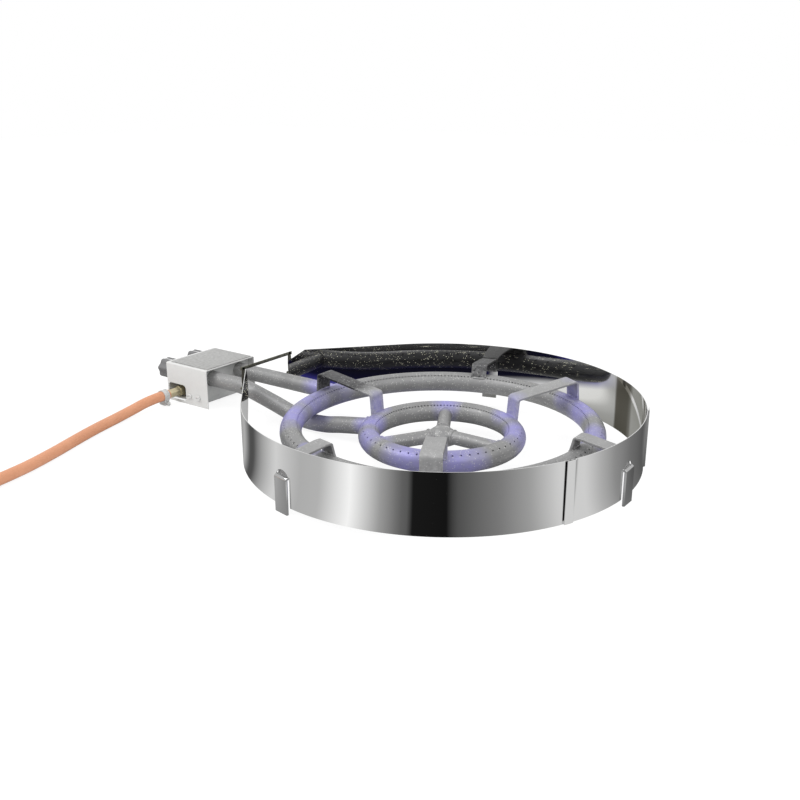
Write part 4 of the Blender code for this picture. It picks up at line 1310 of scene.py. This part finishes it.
def make_cover():
    """Folded hood over the taps: open below and towards the rings."""
    x0 = CENTRE_X + COVER_X[0]
    x1 = CENTRE_X + COVER_X[1]
    edit = box_edit((x0, -COVER_HALF, 0.0), (x1, COVER_HALF, COVER_TOP))
    open_faces = [f for f in edit.faces if f.normal.z < -0.9 or f.normal.x > 0.9]
    bmesh.ops.delete(edit, geom=open_faces, context="FACES")
    folds = [e for e in edit.edges if len(e.link_faces) == 2]
    bmesh.ops.bevel(edit, geom=folds, offset=2.2 * MM, segments=5, affect="EDGES",
                    profile=0.5)
    hood = thicken(link_mesh("folded_tap_cover", edit), COVER_T)
    tools = [window_tool()]
    for side in (-1, 1):
        tools.append(round_tool((x0 - 3 * MM, side * FEED_SIDE, OUTER_RING[1]),
                                (x0 + 3 * MM, side * FEED_SIDE, OUTER_RING[1]), NECK_R))
        for x in SCREW_PLACES:
            tools.append(round_tool((CENTRE_X + x, side * (COVER_HALF - 3 * MM), SCREW_Z),
                                    (CENTRE_X + x, side * (COVER_HALF + 3 * MM), SCREW_Z),
                                    2.3 * MM))
    cut_with(hood, *tools)
    hood.data.shade_smooth()
    soften_edges(hood, 0.25 * MM)
    fit(hood, "paint", ["tap_cover"], shade=False)
    refine("cover_plate", "plate", 0.3 * MM)


def make_screws():
    """Pan-head screws with a driver slot across the head."""
    for number in range(1, 5):
        node = f"cover_screw_{number}"
        low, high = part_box(node)
        screw = refine(node, "paint", 0.7 * MM, segments=3)
        outside = low.y if low.y < 0 else high.y
        x = (low.x + high.x) / 2
        inward = 0.9 * MM if outside < 0 else -0.9 * MM
        ends = sorted((outside - inward, outside + inward))
        slot_cut = box_edit((x - 3.2 * MM, ends[0], SCREW_Z - 0.5 * MM),
                            (x + 3.2 * MM, ends[1], SCREW_Z + 0.5 * MM))
        cut_with(screw, link_mesh("slot_tool", slot_cut))


def make_taps():
    """Closer copies of what sits in the cover, and the two knobs."""
    refine("tap_bracket", "zinc", 0.3 * MM)
    for node in ("gas_rail", "rail_plug", "hose_tail", "tap_front", "tap_rear",
                 "injector_front", "injector_rear"):
        refine(node, "brass", 0.4 * MM)
    for node in ("tap_nut_front", "tap_nut_rear", "air_collar_front", "air_collar_rear"):
        refine(node, "zinc", 0.35 * MM)
    for side, name in ((-1, "front"), (1, "rear")):
        body = name + "_knob"
        refine(f"spindle_{name}", "brass", 0.3 * MM, body)
        refine(f"knob_{name}", "knob", 1.1 * MM, body, segments=3)
        make_mark(side, name, body)


def make_mark(side, name, body):
    """Index mark let into the flute at the top of the knob."""
    low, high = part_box(f"knob_{name}")
    axis = Vector((0, side * FEED_SIDE, OUTER_RING[1]))
    z = axis.z + MARK_HEIGHT
    line = [Vector((low.x + 2 * MM, axis.y, z)), Vector((low.x + 9 * MM, axis.y, z)),
            Vector((high.x - 3 * MM, axis.y, z))]
    outline = section(1.8 * MM, 0.4 * MM, 0.15 * MM, 2)
    rings = [[p + ACROSS * a + UP * t for a, t in outline] for p in line]
    fit(link_mesh(f"index_{name}", loft(rings)), "mark", (), body)


# ---------------------------------------------------------------- studio

def floor_cards(tree):
    """What the polished sheet sees of the floor, inside and outside the guard."""
    place = put(tree, "ShaderNodeNewGeometry").outputs["Position"]
    radius = centre_distance(tree, place)
    angle = bearing(tree, place)
    turned_by = math_node(tree, "SUBTRACT", angle, CARD_AXIS)
    turned_by = math_node(tree, "WRAP", turned_by, 180.0, -180.0)
    # a card's edge follows the sheet's mirrored line of sight, so it shows upright
    spreading = math_node(tree, "DIVIDE", radius,
                          math_node(tree, "MULTIPLY_ADD", radius, 2.0, -GUARD_R))
    spreading = math_node(tree, "MINIMUM", spreading, 1.0)
    share = math_node(tree, "MULTIPLY_ADD", times(tree, turned_by, spreading), 1 / 360, 0.5)
    outside = ramp(tree, share, [((a + 180) / 360, rgba(tone)) for a, tone in OUTSIDE_CARDS])
    inward = math_node(tree, "DIVIDE", radius, INSIDE_REACH)
    dark, pale = (ramp(tree, inward, [(r * MM / INSIDE_REACH, rgba(tone)) for r, tone in card])
                  for card in (INSIDE_DARK, INSIDE_PALE))
    ahead = ranged(tree, angle, PALE_FROM, PALE_TO, 1.0, 0.0)
    behind = math_node(tree, "GREATER_THAN", angle, 0.0)
    inside = mix_colour(tree, times(tree, ahead, behind), dark, pale)
    return mix_colour(tree, beyond(tree, place, GUARD_R), inside, outside)


def floor_material():
    """White for the camera, toned cards for the polished sheet, plain for light."""
    material = bpy.data.materials.new("studio_floor")
    material.use_nodes = True
    tree = material.node_tree
    tree.nodes.clear()
    cards = floor_cards(tree)
    path = put(tree, "ShaderNodeLightPath").outputs
    plain = put(tree, "ShaderNodeBsdfDiffuse", {"Color": rgba(0.93)}).outputs[0]
    shade = put(tree, "ShaderNodeBsdfDiffuse", {"Color": rgba(0.48)}).outputs[0]
    white = put(tree, "ShaderNodeEmission", {"Color": rgba(1.0), "Strength": 0.88}).outputs[0]
    toned = put(tree, "ShaderNodeEmission", {"Color": cards, "Strength": 1.0}).outputs[0]
    seen = put(tree, "ShaderNodeAddShader", {0: shade, 1: white}).outputs[0]
    clear = math_node(tree, "MAXIMUM", path["Is Camera Ray"], path["Is Transmission Ray"])
    first = put(tree, "ShaderNodeMixShader", {0: clear, 1: plain, 2: seen}).outputs[0]
    final = put(tree, "ShaderNodeMixShader",
                {0: path["Is Glossy Ray"], 1: first, 2: toned}).outputs[0]
    put(tree, "ShaderNodeOutputMaterial", {0: final})
    return material


def make_floor():
    bpy.ops.mesh.primitive_plane_add(size=12.0, location=(0.0, 0.0, -0.3 * MM))
    floor = bpy.context.object
    floor.name = "studio_floor"
    floor.data.materials.append(floor_material())


def make_world():
    world = bpy.data.worlds.new("studio")
    bpy.context.scene.world = world
    world.use_nodes = True
    tree = world.node_tree
    tree.nodes.clear()
    path = put(tree, "ShaderNodeLightPath").outputs
    clear = math_node(tree, "MAXIMUM", path["Is Camera Ray"], path["Is Transmission Ray"])
    soft = put(tree, "ShaderNodeBackground", {"Color": rgba(1.0), "Strength": 0.82}).outputs[0]
    white = put(tree, "ShaderNodeBackground", {"Color": rgba(1.0), "Strength": 1.0}).outputs[0]
    seen = put(tree, "ShaderNodeMixShader", {0: clear, 1: soft, 2: white}).outputs[0]
    put(tree, "ShaderNodeOutputWorld", {0: seen})


def add_lamp(name, place, aim, size, power):
    data = bpy.data.lights.new(name, "AREA")
    data.shape = "DISK"
    data.size = size
    data.energy = power
    lamp = bpy.data.objects.new(name, data)
    lamp.location = place
    lamp.rotation_euler = (Vector(aim) - Vector(place)).to_track_quat("-Z", "Y").to_euler()
    bpy.context.scene.collection.objects.link(lamp)


def make_studio():
    make_floor()
    make_world()
    add_lamp("key", (-1.1, -1.2, 2.2), (0.0, 0.0, 0.0), 1.6, 30.0)
    add_lamp("fill", (1.8, -0.6, 1.6), (0.1, 0.0, 0.0), 1.8, 14.0)
    bpy.context.scene.view_settings.view_transform = "Standard"


# ---------------------------------------------------------------- all

def main():
    set_camera()
    make_hose()
    make_rings()
    make_feed_tubes()
    make_star()
    make_bars()
    make_welds()
    make_side_panel(-1, "side_panel_front")
    make_side_panel(1, "side_panel_rear")
    make_end_panel()
    make_bridge()
    make_cover()
    make_screws()
    make_taps()
    make_studio()


main()
